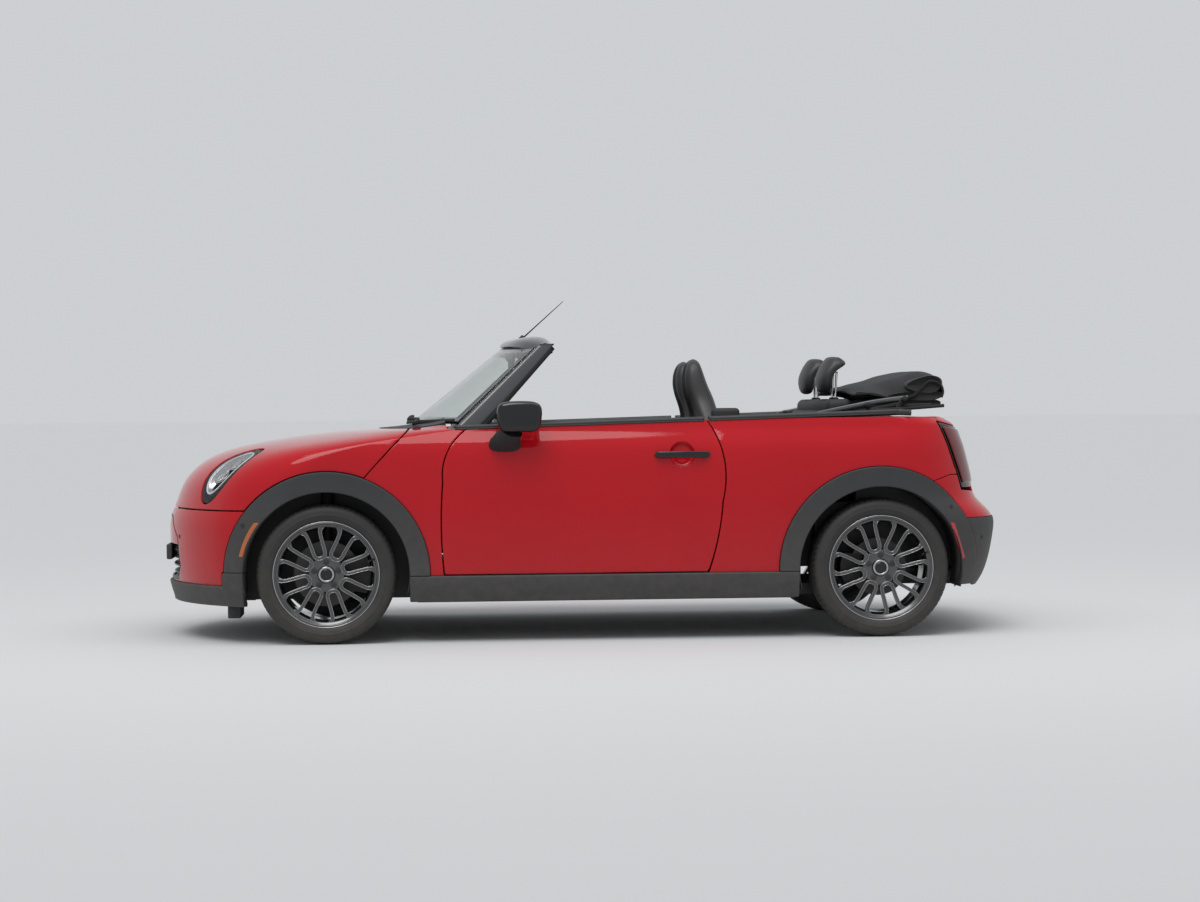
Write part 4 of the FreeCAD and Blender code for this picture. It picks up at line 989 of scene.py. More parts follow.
def makeBumpers():
    points = fullPoints(wholeWidth(2.4, .014), spaced(.25, bumperLine, .006))
    frontEdges = [beyond(2, .2585, 1), beyond(2, bumperLine - .003, -1), outsideArch(frontAxle, trimRadius),
        beyond(0, frontAxle - .2, -1), notInside(sideBox(frontAxle, -.47, 0, 0, .323))]
    mouth = frontEdges + [notInside(fromFront(grilleLine))]
    parts = [cutPatch(points, mouth)]
    bar = frontEdges[:2] + [frontBox(.52, .432, .548), fromFront(grilleLine, grow=-.013)]
    parts.append(cutPatch(points, bar, inset=.002))
    addMesh("front_bumper_skin", parts, redPaint, "body", ["front_bumper"])
    points = rearPoints(2.6, .012, spaced(.525, .727, .006))
    edges = [fromSide(bumperRear), beyond(2, .532, 1), beyond(0, rearAxle + .2, 1), notInside(fromSide(tailLampLine,
        grow=.003)), outsideArch(rearAxle, trimRadius)]
    hole = fromSide(tailgateLine(.0055))
    within = topBox(.566)
    edges.append(lambda spots: -np.maximum(hole(spots), within(spots)))
    addMesh("rear_bumper_skin", cutPatch(points, edges), redPaint, "body", ["rear_bumper"])
    points = rearPoints(2.9, .012, spaced(.176, .533, .007))
    edges = [lambda spots: pipe["hole"] - np.hypot(spots[:, 1] - pipe["y"], spots[:, 2] - pipe["z"]),
        beyond(2, .5305, -1), beyond(2, .212, 1), beyond(0, rearAxle + .2, 1), outsideArch(rearAxle, trimRadius
        - .001)]
    addMesh("valance_skin", cutPatch(points, edges, offset=.003), trimPlastic, "body", ["rear_valance"])


def makeLiners():
    # dark wheel-arch liners, a curved sheet over each wheel just inside the arch trims
    for name, axle in (("front", frontAxle), ("rear", rearAxle)):
        turn, y = gridOf(np.radians(np.linspace(-14, 194, 90)), np.linspace(-.6, -.846, 14))
        sheets = [stacked(axle + radius * np.cos(turn), y, wheelHeight + radius * np.sin(turn))
            for radius in (archRadius + .0025, archRadius - .001)]
        addBoth(name + "_arch_liners", gridSlab(*sheets), darkPlastic)


def makeTrims():
    proud = .0145
    rounding = .005
    points = fullPoints(wholeWidth(2.7, .014), spaced(.165, .33, .006))
    low = [beyond(2, .166, 1), outsideArch(frontAxle, archRadius), beyond(0, frontAxle - .2, -1)]
    step = fromSide([(nose - .1, .2555), (frontAxle - .47, .2555), (frontAxle - .47, .321), (frontAxle, .321),
        (frontAxle, .1), (nose - .1, .1)])
    addMesh("front_lip_skin", cutPatch(points, low + [step], offset=proud, thick=.03, inset=rounding), trimPlastic,
        "body", ["front_lip"])
    addBoth("air_flaps", roundedBox((frontAxle - .42, -.555, .15), (.06, .22, .082), .007), darkPlastic)
    for name, axle, frontLow, rearLow in (("front", frontAxle, .322, .301), ("rear", rearAxle, .301, .222)):
        points = sideShares(spaced(axle - trimRadius - .01, axle + trimRadius + .01, .008), spaced(.214, .78, .008))
        ring = [insideArch(axle, trimRadius - .001), outsideArch(axle, archRadius), notInside(sideBox(axle, -.6, 0, 0,
            frontLow)), notInside(sideBox(axle, 0, .6, 0, rearLow))]
        addBoth(name + "_arch_skins", cutPatch(points, ring, offset=proud, thick=.034, inset=rounding), trimPlastic,
            [name + "_arch_trims"])
    points = sideShares(spaced(frontAxle + .2, rearAxle - .2, .012), spaced(.176, sillTop, .008))
    sill = [beyond(2, sillTop - .0005, -1), beyond(2, .181, 1), outsideArch(frontAxle, archRadius),
        outsideArch(rearAxle, archRadius)]
    addBoth("sill_skins", cutPatch(points, sill, offset=proud, thick=.03, inset=rounding), trimPlastic, ["sill_trims"])


makeBonnet()
makeWings()
makeQuarters()
makeDeck()
makeTailgate()
makeBumpers()
makeTrims()
makeLiners()
print("painted panels and trims ready")


# wheels: worked out at the origin as a left wheel, with its outer face at minus half the track
wheel = {"face": .8575, "width": .215, "loops": 8, "bolts": 5, "boltCircle": .056, "pitches": 72, "turn": .38,
    "grooveDepth": .0062}
wheelMiddle, inwards = (0, -wheel["face"], 0), (0, 1, 0)
tyreHalf = [  # distance in from the face, radius, and whether the shoulder's cross grooves run here
    (.019, .2215, 0), (.0176, .229, 0), (.015, .2352, 0), (.0118, .2385, 0), (.0082, .24, 0),
    (.004, .2475, 0), (.0016, .256, 0), (.0006, .264, 0), (0.0, .265, 0), (0.0, .2668, 0),
    (.0006, .2678, 0), (.0012, .278, 0), (.0034, .287, 0), (.0074, .295, 0), (.0135, .3015, 0),
    (.0215, .3064, .3), (.031, .3095, 1), (.0408, .3108, 1), (.0416, .305, 0), (.0484, .305, 0),
    (.0492, .3116, .35), (.065, .3122, .35), (.0802, .3124, 0), (.081, .3063, 0),
    (.089, .3063, 0), (.0898, .3125, 0)]


def shifted(part, place):
    points, sets = part
    return points + np.array(place), sets


def tyrePart():
    half = np.array(tyreHalf)
    other = half[::-1].copy()
    other[:, 0] = wheel["width"] - other[:, 0]
    profile = np.concatenate([half, other])
    local = np.array([0.0, .03, .17, .2, .47, .73])
    angle = ((np.arange(wheel["pitches"])[:, None] + local) / wheel["pitches"]).ravel() * 2 * np.pi
    sunk = np.tile([0.0, 1.0, 1.0, 0.0, 0.0, 0.0], wheel["pitches"])
    # the cross grooves sink the shoulder where a column lies in a groove
    radius = profile[None, :, 1] - wheel["grooveDepth"] * .8 * sunk[:, None] * profile[None, :, 2]
    slant = .1 * (profile[:, 0] - wheel["width"] / 2) / wheel["width"]
    turn = angle[:, None] + slant[None, :]
    points = stacked(radius * np.cos(turn), -wheel["face"] + profile[:, 0], radius * np.sin(turn))
    return outward(points.reshape(-1, 3), [gridQuads(*radius.shape, True, True)])


def rimRing():
    # the rim in section, from its outer lip round the well and back
    outline = [(.0095, .2325), (.009, .229), (.01, .2262), (.0128, .2246), (.015, .2225), (.017, .217), (.024, .2105),
        (.036, .2065), (.06, .2045), (.19, .2045), (.194, .214), (.1945, .232), (.19, .2325), (.188, .22), (.17, .214),
        (.07, .214), (.019, .2198), (.0172, .232), (.012, .2335)]
    return turnedPart(outline, 192, wheelMiddle, inwards)


def spokeLoops():
    # each loop is a U: out along one bar, round near the hub and back along the other, flaring at the rim
    spots = np.array([(.217, -.056), (.21, -.044), (.2, -.0355), (.185, -.0305), (.15, -.0275), (.115, -.0262),
        (.096, -.0248), (.085, -.02), (.079, -.0115), (.077, 0.0)])
    spots = np.concatenate([spots, spots[-2::-1] * [1, -1]])
    path = smoothPath(np.column_stack([spots, np.zeros(len(spots))]), 90)
    radial, sideways = path[:, 0], path[:, 1]
    share = np.clip((radial - .075) / .14, 0, 1)
    depth = .043 - .008 * share + .006 * np.clip((radial - .2) / .016, 0, 1)
    flare = np.clip((radial - .19) / .024, 0, 1)
    width = .015 + .003 * np.clip((.1 - radial) / .03, 0, 1) + .008 * flare
    parts, highlightBeads = [], []
    for k in range(wheel["loops"]):
        turn = 2 * math.pi * (k + wheel["turn"]) / wheel["loops"] - math.pi / 2
        c, s = math.cos(turn), math.sin(turn)
        line = stacked(radial * c - sideways * s, depth - wheel["face"], radial * s + sideways * c)
        parts.append(sweepPart(line, 16, width, .036, power=4.0, up=inwards))
        # painted highlights along the bars' front edges, as thin beads of brighter metal along both sides
        for edge in (-1, 1):
            across = unit(np.cross(np.gradient(line, axis=0), inwards))
            highlightBeads.append(sweepPart(line + across * (edge * width * .44)[:, None] - [0, .0166, 0], 6, .0026))
    return parts, highlightBeads


def hubPart():
    profile = [(.033, 0), (.033, .036), (.029, .04), (.0278, .044), (.0278, .069), (.0292, .076), (.0325, .081),
        (.04, .084), (.056, .083), (.076, .068), (.077, 0)]
    return lathePart(profile, 96, wheelMiddle, inwards)


def capParts():
    # a bright ring round a plain dark disc
    ring = [(.025, .026), (.0232, .0268), (.0222, .029), (.0222, .0325), (.024, .0355), (.033, .0368), (.034, .026)]
    disc = [(.0236, 0), (.0238, .015), (.0246, .0262), (.033, .0266), (.034, 0)]
    return turnedPart(ring, 64, wheelMiddle, inwards), lathePart(disc, 64, wheelMiddle, inwards)


def lipPart():
    # a thin ring of brighter metal along the rim's outer edge
    outline = [(.0086, .2335), (.0076, .235), (.0078, .2372), (.0092, .2384), (.013, .2378), (.013, .233)]
    return turnedPart(outline, 192, wheelMiddle, inwards)


def boltParts():
    # a dark pocket, painted shade standing in for the bolt's hole, and a six-sided head for each bolt
    pockets, heads = [], []
    for k in range(wheel["bolts"]):
        turn = 2 * math.pi * k / wheel["bolts"] + math.pi / 2
        spot = wheel["boltCircle"] * math.cos(turn), -wheel["face"], wheel["boltCircle"] * math.sin(turn)
        ring = [(.0272, .015), (.0272, .0134), (.03, .0126), (.034, .012), (.034, .015)]
        pockets.append(turnedPart(ring, 28, spot, inwards))
        pockets.append(lathePart([(.02765, 0), (.0276, .012), (.0282, .0128), (.03, 0)], 28, spot, inwards))
        heads.append(lathePart([(.0262, 0), (.0264, .005), (.027, .007), (.029, .0076), (.029, 0)], 6, spot, inwards))
    return pockets, heads


def makeWheels():
    tyre = tyrePart()
    bars, highlightBeads = spokeLoops()
    rim = joinParts([rimRing(), hubPart()] + bars)
    capRing, capDisc = capParts()
    # the rim's bright outer ring, the cap ring and the bars' beads, which are painted highlights
    bright = joinParts([lipPart(), capRing] + highlightBeads)
    pockets, heads = boltParts()
    valve = sweepPart([(.196, -wheel["face"] + .03, .06), (.19, -wheel["face"] + .012, .058),
        (.187, -wheel["face"], .057)], 10, [.009, .008, .007])
    for end, axle in (("front", frontAxle), ("rear", rearAxle)):
        for side, turned in sides:
            body = end + "_wheel_" + side
            for name, part, look, replaced in (("tyre", tyre, tyreRubber, ["_tyre_"]),
                    ("rim", rim, rimMetal, ["_rim_"]), ("rim_edges", bright, edgeAndHighlightMetal, []),
                    ("hub_cap", capDisc, blackGloss, []), ("bolt_pockets", joinParts(pockets + [valve]), darkPlastic,
                    []), ("bolts", joinParts(heads), chassisMetal, [])):
                addMesh(name + "_" + end + "_" + side, shifted(turned(part), (axle, 0, wheelHeight)), look, body,
                    [end + node + side for node in replaced], name != "bolts")
            frame["nodes"][end + "_disc_" + side].data.materials[0] = discMetal


sides = ("left", lambda part: part), ("right", mirrorPart)
# brighter metal for the rim's outer ring, the cap ring and the bars' edge beads, the beads being painted highlights
edgeAndHighlightMetal = metalMaterial("edge_and_highlight_metal", (.42, .42, .425), rough=.2, coat=.5)
makeWheels()
for name in ("knuckle_left", "knuckle_right", "rear_axle", "front_subframe", "exhaust"):
    frame["nodes"][name].data.materials[0] = chassisMetal
print("wheels ready")


# windscreen: bowed level sections from the foot to the head, leaning back, with a pillar at each end
screen = {"footX": frontAxle + .345, "low": .961, "high": 1.334, "rake": .461, "pillarFoot": .584, "pillarReach": .384,
    "footHalf": .7, "headHalf": .6, "narrowing": .42}
headX = screen["footX"] + screen["rake"]


def screenPoint(across, share, back=0.0):
    # across runs -1 to 1 over the bow, share 0 to 1 up the screen, back moves it to the rear
    z = screen["low"] + share * (screen["high"] - screen["low"])
    centre = screen["footX"] + share * screen["rake"]
    sideX = frontAxle + screen["pillarFoot"] + share * screen["pillarReach"]
    half = screen["footHalf"] + share * (screen["headHalf"] - screen["footHalf"])
    bow = sideX - centre
    radius = (half ** 2 + bow ** 2) / (2 * bow)
    angle = np.arcsin(half / radius) * across
    return stacked(centre + radius * (1 - np.cos(angle)) + back, radius * np.sin(angle), z)


def sheetPart(grid, thick):
    # a thin closed sheet over a grid, its thickness to the side away from the normals
    return gridSlab(grid, grid - unit(np.cross(np.gradient(grid, axis=0), np.gradient(grid, axis=1))) * thick)


def makeGlass():
    # the pane, then the dark printed edge as a thin frame on its inner face
    slabs = []
    for left, right, columns, low, high, rows, back, thick in ((-.955, .955, 60, .05, .985, 30, .01, .005),
            (-.956, .956, 50, .045, .12, 5, .0155, .001), (-.956, .956, 50, .9, .99, 5, .0155, .001),
            (-.957, -.905, 6, .1, .93, 30, .0157, .001), (.905, .957, 6, .1, .93, 30, .0157, .001)):
        across, share = gridOf(np.linspace(left, right, columns), np.linspace(low, high, rows))
        slabs.append(gridSlab(screenPoint(across, share, back), screenPoint(across, share, back + thick)))
    addMesh("windscreen_glass", slabs[0], screenGlass, "body", ["screen_glass"])
    addMesh("glass_border", slabs[1:], blackGloss)


pillarSection = [  # set in from the pillar's front corner across the car, and back along it
    (0.0, 0.0), (-.0045, .01), (-.006, .03), (-.0055, .07), (-.003, .1), (.002, .112),
    (.01, .114), (.034, .112), (.044, .104), (.046, .09), (.046, .05), (.038, .02), (.02, .006),
    (.008, -.0035), (.003, -.003)]


def pillarPart():
    # level sections from below the belt up into the header, narrowing upwards
    share = np.linspace(-.055, 1.015, 40)[:, None]
    section = smoothPath(pillarSection + pillarSection[:1], 49)[:-1]
    narrow = 1.0 - screen["narrowing"] * np.clip(share, 0, 1)
    corner = screenPoint(-1.0, share)
    x = corner[..., 0] + section[:, 1] * narrow
    y = corner[..., 1] + section[:, 0] * (1 - .15 * share)
    return cappedTube(stacked(x, y, corner[..., 2]))


headerRows = np.array([  # across the car, then front, rear, low and high of the section about the head of the glass
    (-1.0, .16, .216, -.036, .008), (-.82, .096, .224, -.026, .034), (-.42, .024, .222, -.014, .044),
    (0, 0, .22, -.012, .046)])
headerRows = np.concatenate([headerRows, headerRows[-2::-1] * [-1, 1, 1, 1, 1]])
headerSection = [  # share of the depth and of the height
    (0.0, .3), (.03, .52), (.11, .74), (.26, .9), (.42, .975), (.56, 1.0), (.72, .965),
    (.86, .84), (.96, .62), (1.0, .4), (.985, .14), (.96, .04), (.84, 0.0), (.7, 0.0), (.45, .06),
    (.22, .12), (.06, .18)]


def headerPart():
    at = np.linspace(-1, 1, 81)
    rows = naturalSpline(headerRows[:, 0], headerRows[:, 1:], at)
    section = smoothPath(headerSection + headerSection[:1], 65)[:-1]
    front, rear, low, high = (rows[:, k][:, None] for k in range(4))
    x = headX + front + (rear - front) * section[:, 0]
    z = screen["high"] + low + (high - low) * section[:, 1]
    return cappedTube(stacked(x, (at * screen["headHalf"])[:, None], z))


def makeScreenFrame():
    addBoth("screen_pillars", pillarPart(), pillarPaint, ["screen_frame"])
    addMesh("screen_header", headerPart(), pillarPaint)
    # the rubber against the pillar's rear edge and under the header, which the window closes on
    share = np.linspace(0.0, .97, 30)
    corner = screenPoint(-1.0, share)
    narrow = 1.0 - screen["narrowing"] * share
    corner[:, 0] += .118 * narrow + .004
    corner[:, 1] += .012
    seal = sweepPart(corner, 12, .02, .026, power=2.6)
    at = np.linspace(-.93, .93, 60)
    rows = naturalSpline(headerRows[:, 0], headerRows[:, 1:], at)
    rail = stacked(headX + rows[:, 1] - .004, at * screen["headHalf"], screen["high"] + rows[:, 2] + .004)
    top = sweepPart(rail, 12, .022, .024, power=2.6)
    addMesh("screen_seals", [seal, mirrorPart(seal), top], rubberSeal)


def makeAntenna():
    foot = np.array([headX + .112, 0, screen["high"] + .047])
    way = unit(np.array([.197, 0, .177]))
    share = np.linspace(0, 1, 40)
    mast = sweepPart(foot + way * (share[:, None] * .262), 10, .0075 - .0045 * share)
    base = lathePart([(-.006, 0), (-.006, .018), (0.0, .0165), (.01, .0105), (.016, .007), (.0165, 0)], 28, foot - way
        * .004, (.3, 0, 1))
    addMesh("antenna_mast", [mast, base], darkPlastic, "body", ["antenna"])


makeGlass()
makeScreenFrame()
makeAntenna()
print("windscreen ready")


# doors: a skin with the handle's round cup pressed into it, a painted inner shell and a dark cabin side
door = {"cupX": doorRear - .187, "cupZ": .834, "cupRadius": .059, "cupDepth": .021, "step": .014, "shellIn": -.772,
    "cabinIn": -.734}


def cupDent(points):
    # a round dish: flat-bottomed in the middle, rising in a smooth lip to the skin
    away = np.hypot(points[..., 0] - door["cupX"], points[..., 2] - door["cupZ"]) / door["cupRadius"]
    rise = np.clip(1 - away ** 2, 0, 1)
    return -door["cupDepth"] * (1 - (1 - rise) ** 3) * np.clip((1 - away) * 9, 0, 1)


def toPlane(y):
    return lambda points, normals: stacked(points[:, 0], y, points[:, 2])


def closerLines(first, last, step, middle, reach, fine):
    # grid lines that lie closer together round a middle
    return np.concatenate([spaced(first, middle - reach, step)[:-1], spaced(middle - reach, middle + reach, fine),
        spaced(middle + reach, last, step)[1:]])


def makeDoorPanels():
    x = closerLines(doorFront - .02, doorRear + .02, .009, door["cupX"], .062, .0026)
    z = closerLines(.3, 1.0, .009, door["cupZ"], .062, .0026)
    skin = cutPatch(sideShares(x, z), [fromSide(doorLine()), belowBelt], thick=.02, shape=cupDent)
    inside = sideShares(spaced(doorFront, doorRear, .02), spaced(.3, 1.0, .02))
    rim = [fromSide(doorLine(-door["step"])), belowBelt]
    shell = cutPatch(inside, rim, offset=-.0205, thick=.05, inset=.003, inner=toPlane(door["shellIn"]))
    inside[..., 1] = door["shellIn"] + .0004
    lower = [fromSide(doorLine(-door["step"] - .012)), belowBelt]
    inner = door["cabinIn"]
    trim = cutPatch(inside, lower, thick=.05, inset=.004, inner=toPlane(inner))
    middleX = (doorFront + doorRear) / 2
    furniture = [roundedBox((middleX + .1, inner + .026, .64), (.56, .06, .07), .024),
        roundedBox((middleX + .02, inner + .012, .44), (.7, .04, .15), .018), roundedBox((middleX + .06, inner + .006,
        .9), (.98, .026, .09), .012), lathePart([(0.0, 0), (.001, .07), (.004, .078), (.012, .082), (.02, .082),
        (.02, 0)], 48, (doorFront + .21, inner + .016, .44), (0, -1, 0))]
    pull = sweepPart(smoothPath([(middleX - .26, inner + .006, .7), (middleX - .23, inner + .04, .705),
        (middleX - .1, inner + .046, .72), (middleX + .04, inner + .04, .745), (middleX + .07, inner + .006, .752)],
        40), 12, .02, .026)
    catch = sweepPart(smoothPath([(middleX - .34, inner + .004, .8), (middleX - .31, inner + .02, .8),
        (middleX - .22, inner + .016, .808)], 20), 12, .012, .022)
    for name, turned in sides:
        body = "door_" + name
        for piece, part, look in (("_skin", skin, redPaint), ("_shell", shell, redPaint),
                ("_inner_trim", trim, cabinPlastic), ("_armrest", joinParts(furniture), seatLeather),
                ("_inner_pull", pull, greyStrip), ("_catch", catch, brightMetal), ("_handle", handlePart(),
                blackGloss), ("_belt_strip", joinParts(beltStrips(beltStart + .036, doorRear - .082)), stripPaint)):
            addMesh(body + piece, turned(part), look, body, [body] if piece == "_skin" else ())


def handlePart():
    # a flat bar over the cup, bowed a little out, with its two feet and a lock cap at the rear end
    share = np.linspace(0, 1, 40)
    x = door["cupX"] + (share - .5) * .246
    skin = sidePoint(x, door["cupZ"] - .001)
    bow = .016 + .006 * np.sin(np.pi * share) - .012 * (2 * np.abs(share - .5)) ** 10
    skin[:, 1] -= bow
    height = .03 * np.sqrt(np.clip(1 - (2 * np.abs(share - .5)) ** 14, .05, 1))
    parts = [sweepPart(skin, 20, .014, height, power=2.8)]
    for k in (-1, 1):
        foot = sidePoint(door["cupX"] + k * .098, door["cupZ"] - .001)
        parts.append(roundedBox(foot + [0, -.006, 0], (.03, .03, .018), .006))
    return joinParts(parts)


def beltHeight(x):
    # the top of the red along the side
    spots = np.array([(beltStart, .958), (doorRear - .07, .988), (rearAxle + .105, 1.014), (rearAxle + .22, 1.008),
        (tail - .3, .99)])
    return np.interp(x, spots[:, 0], spots[:, 1])


def beltStrips(first, last):
    # the outer strip on the belt line, the slot behind it and the inner strip
    x = np.linspace(first, last, 90)
    z = beltHeight(x)
    edge = sidePoint(x, z - .006)
    strip = sweepPart(edge + np.array([0, .006, .01]), 12, .02, .016, power=3.0)
    lip = sweepPart(edge + np.array([0, -.0015, .0025]), 10, .006, .006, power=2.4)
    inner = sweepPart(stacked(x, -.757, z), 12, .042, .028, power=3.0)
    return [strip, lip, inner]


stripPaint = mouldedMaterial("belt_strip_black", (.022, .0225, .023), rough=.42, depth=.1)
makeDoorPanels()


def makeMirrors():
    # shell: a loft along the car whose sections are rounded boxes, fuller at the front
    share = (1 - np.cos(np.linspace(0, np.pi, 44))) / 2
    x = frontAxle + .764 + share * .198
    swell = np.clip(1 - np.abs(2 * share - 1) ** 5, .02, 1) ** .28
    middle = stacked(x, -.917 + .004 * share, 1.004 + .006 * np.sin(np.pi * share))
    shell = sweepPart(middle, 48, .106 * swell, .138 * swell, power=4.6)
    glass = sweepPart(np.array([(x[0] + .03, -.868, 1.002), (x[0] + .1, -.8665, 1.003), (x[-1] - .03, -.868, 1.002)]),
        24, .01, .098, power=3.0)
    foot = np.array([frontAxle + .8, -.834, .888])
    neck = smoothPath([foot + [0.0, .01, -.01], foot + [0.0, -.014, .004], foot + [.012, -.046, .028], foot
        + [.03, -.076, .06]], 30)
    share = np.linspace(0, 1, 30)
    arm = sweepPart(neck, 28, .15 - .052 * share, .066 + .01 * share, power=2.6, up=(0, .3, 1))
    for name, turned in sides:
        body = bodyOf["mirror_" + name]
        addMesh("mirror_shell_" + name, turned(shell), blackGloss, body, ["mirror_" + name])
        for piece, part, look in (("foot_", arm, darkPlastic), ("glass_", glass, mirrorSilver)):
            addMesh("mirror_" + piece + name, turned(part), look, body)


mirrorSilver = metalMaterial("mirror_silver", (.82, .83, .84), rough=.03, streak=.01)
bodyOf = {node: name for name, nodes in frame["record"]["behaviour"]["bodies"].items() for node in nodes}
makeMirrors()
addBoth("belt_strips", beltStrips(doorRear - .058, 1.47), stripPaint)
print("doors and mirrors ready")


# headlamps: everything is laid out in the lamp's own oval, then dropped below the skin by a depth
def lampPoints(share, angle, depth, shiftU=0.0, shiftV=0.0):
    # the point of the skin over a place in the oval, then sunk along the lamp's normal
    a, b = lampSpot["length"] / 2 - .001, lampSpot["height"] / 2 - .001
    u = a * share * np.cos(angle) + shiftU
    v = b * share * np.sin(angle) + shiftV
    x = lampMiddle[0] + u * lampLong[0] + v * lampShort[0]
    z = lampMiddle[2] + u * lampLong[2] + v * lampShort[2]
    for _ in range(14):
        away = sidePoint(x, z) - lampMiddle
        missU, missV = u - away @ lampLong, v - away @ lampShort
        x = x + missU * lampLong[0] + missV * lampShort[0]
        z = z + missU * lampLong[2] + missV * lampShort[2]
    return sidePoint(x, z) - lampNormal * np.asarray(depth)[..., None]


def lampBowl(rows, around=96):
    # rows are a share of the oval and a depth, with shifts along and across where it isn't on the oval's middle
    return np.stack([lampPoints(share, circle(around), depth, *shifts) for share, depth, *shifts in rows])


def closedBowl(rows, thick):
    front = lampBowl(rows)
    return cappedLoop(np.concatenate([front, front[::-1] - lampNormal * thick]))


def cappedLoop(loop):
    # a ring of rings that closes on itself: a hollow band
    rows, columns = loop.shape[:2]
    return outward(loop.reshape(-1, 3), [gridQuads(rows, columns, True, True)])


def lampDisc(rows, thick=.002):
    # a closed dish: rings that shrink to a small middle, front and back
    front = lampBowl(rows)
    return cappedTube(np.concatenate([front, front[::-1] - lampNormal * thick]))


def makeHeadlamps():
    # the clear middle sits forward and up of the oval's own, which leaves the dark bezel thick behind and below
    aside = np.array([-.013, 0, .013])
    u, v = aside @ lampLong, aside @ lampShort
    lens = lampDisc([(.03, -.0015), (.25, -.0014), (.5, -.0012), (.75, -.0006), (.9, .0002), (.97, .0012),
        (.995, .0026)], .0028)
    bezel = closedBowl([(.996, .0035), (.97, .0038), (.92, .0045, .3 * u, .3 * v), (.84, .006, .8 * u, .8 * v),
        (.78, .008, u, v)], .008)
    ring = closedBowl([(.782, .01, u, v), (.776, .006, u, v), (.754, .0052, u, v), (.736, .0062, u, v),
        (.728, .011, u, v)], .006)
    bowl = lampDisc([(.02, .062, u, v), (.3, .06, u, v), (.5, .05, u, v), (.64, .034, u, v), (.71, .014, u, v),
        (.736, .01, u, v)], .003)
    divider = []
    for across, tall in ((.02, .012), (-.026, .012)):
        line = lampPoints(np.abs(np.linspace(-.6, .6, 24)), np.where(np.linspace(-1, 1, 24) < 0, np.pi, 0.0), .04, u, v
            + across)
        divider.append(sweepPart(line, 12, tall, .02, power=4.0))
    # two round projectors, each a clear ball lens in a dark ring
    cups, eyes, rims = [], [], []
    for shift, radius in ((.05, .034), (-.044, .036)):
        seat = lampPoints(0.0, 0.0, .05, u + shift, v)
        cups.append(lathePart([(0, 0), (0, radius + .004), (.024, radius + .003), (.026, radius),
            (.012, radius - .004), (.008, 0)], 40, seat, lampNormal))
        rims.append(lathePart([(.022, radius - .003), (.027, radius - .001), (.03, radius + .002),
            (.027, radius + .005), (.022, radius + .004)], 40, seat, lampNormal))
        eyes.append(lathePart([(.014, 0), (.014, radius - .005), (.02, radius - .005), (.028, radius * .72),
            (.033, radius * .4), (.035, 0)], 40, seat, lampNormal))
    addBoth("headlamp_lenses", lens, clearCover, ["headlamps"])
    for name, part, look in (("bezels", bezel, lampBlack), ("rings", ring, lampWhite), ("bowls", bowl, bowlMetal),
            ("blades", divider, darkPlastic), ("cups", cups, darkPlastic), ("projector_rims", rims, brightMetal),
            ("projectors", eyes, lampGlass)):
        addBoth("headlamp_" + name, part, look)


def lampBulge(points):
    # how far the tail lens swells out of the skin
    tall = np.sin(np.pi * np.clip((points[..., 2] - .684) / .282, 0, 1))
    wide = np.sin(np.pi * np.clip((np.abs(points[..., 1]) - .575) / .17, 0, 1))
    return .008 * np.sqrt(tall) * wide ** .4


def makeTailLamps():
    points = rearPoints(1.75, .012, spaced(.64, .968, .005))
    shapeEdges = [fromSide(tailLampLine, grow=-.002), beyond(1, -(tailgate["half"] + .008), -1), beyond(2, .668, 1),
        belowBelt]
    left = points[points[:, 0, 1] < 0]
    frame = cutPatch(left, shapeEdges, offset=.002, thick=.02, inset=.003)
    lensEdges = [fromSide(tailLampLine, grow=-.014), beyond(1, -(tailgate["half"] + .018), -1), beyond(2, .69, 1),
        belowBelt]
    lens = cutPatch(left, lensEdges, offset=.0065, thick=.005, inset=.004, shape=lampBulge)
    inner = cutPatch(left, lensEdges, offset=-.004, thick=.004, inset=.004)
    addBoth("tail_lamp_frames", frame, blackGloss, ["tail_lamps"])
    addBoth("tail_lamp_lenses", lens, redGlass)
    addBoth("tail_lamp_reflectors", inner, tailReflector)


def outlineFlat(spots, count=160):
    # a closed outline of (y, z) spots, rounded at its corners
    spots = np.array(spots)
    steps = np.linspace(0, 1, 7)[:, None]
    line = []
    for k in range(len(spots)):
        before, here, after = spots[k - 1], spots[k], spots[(k + 1) % len(spots)]
        a = here + (before - here) * .22
        b = here + (after - here) * .22
        line.append((1 - steps) ** 2 * a + 2 * steps * (1 - steps) * here + steps ** 2 * b)
    line = np.concatenate(line)
    loop = np.concatenate([line, line[:1]])
    length = distances(loop)
    at = np.linspace(0, length[-1], count, endpoint=False)
    return np.stack([np.interp(at, length, loop[:, k]) for k in (0, 1)], -1)


def noseX(y, z, inset=0.0):
    # x of the nose at a height and distance from the middle
    side, back, reach, corner, wide = levelEnd(levelAt(z), 1, inset)
    return nose + back + inset + wide - np.sqrt(wide ** 2 - y ** 2)


grille = {"slats": (.297, .332, .367, .402), "plate": (.352, .424), "plateHalf": .175}


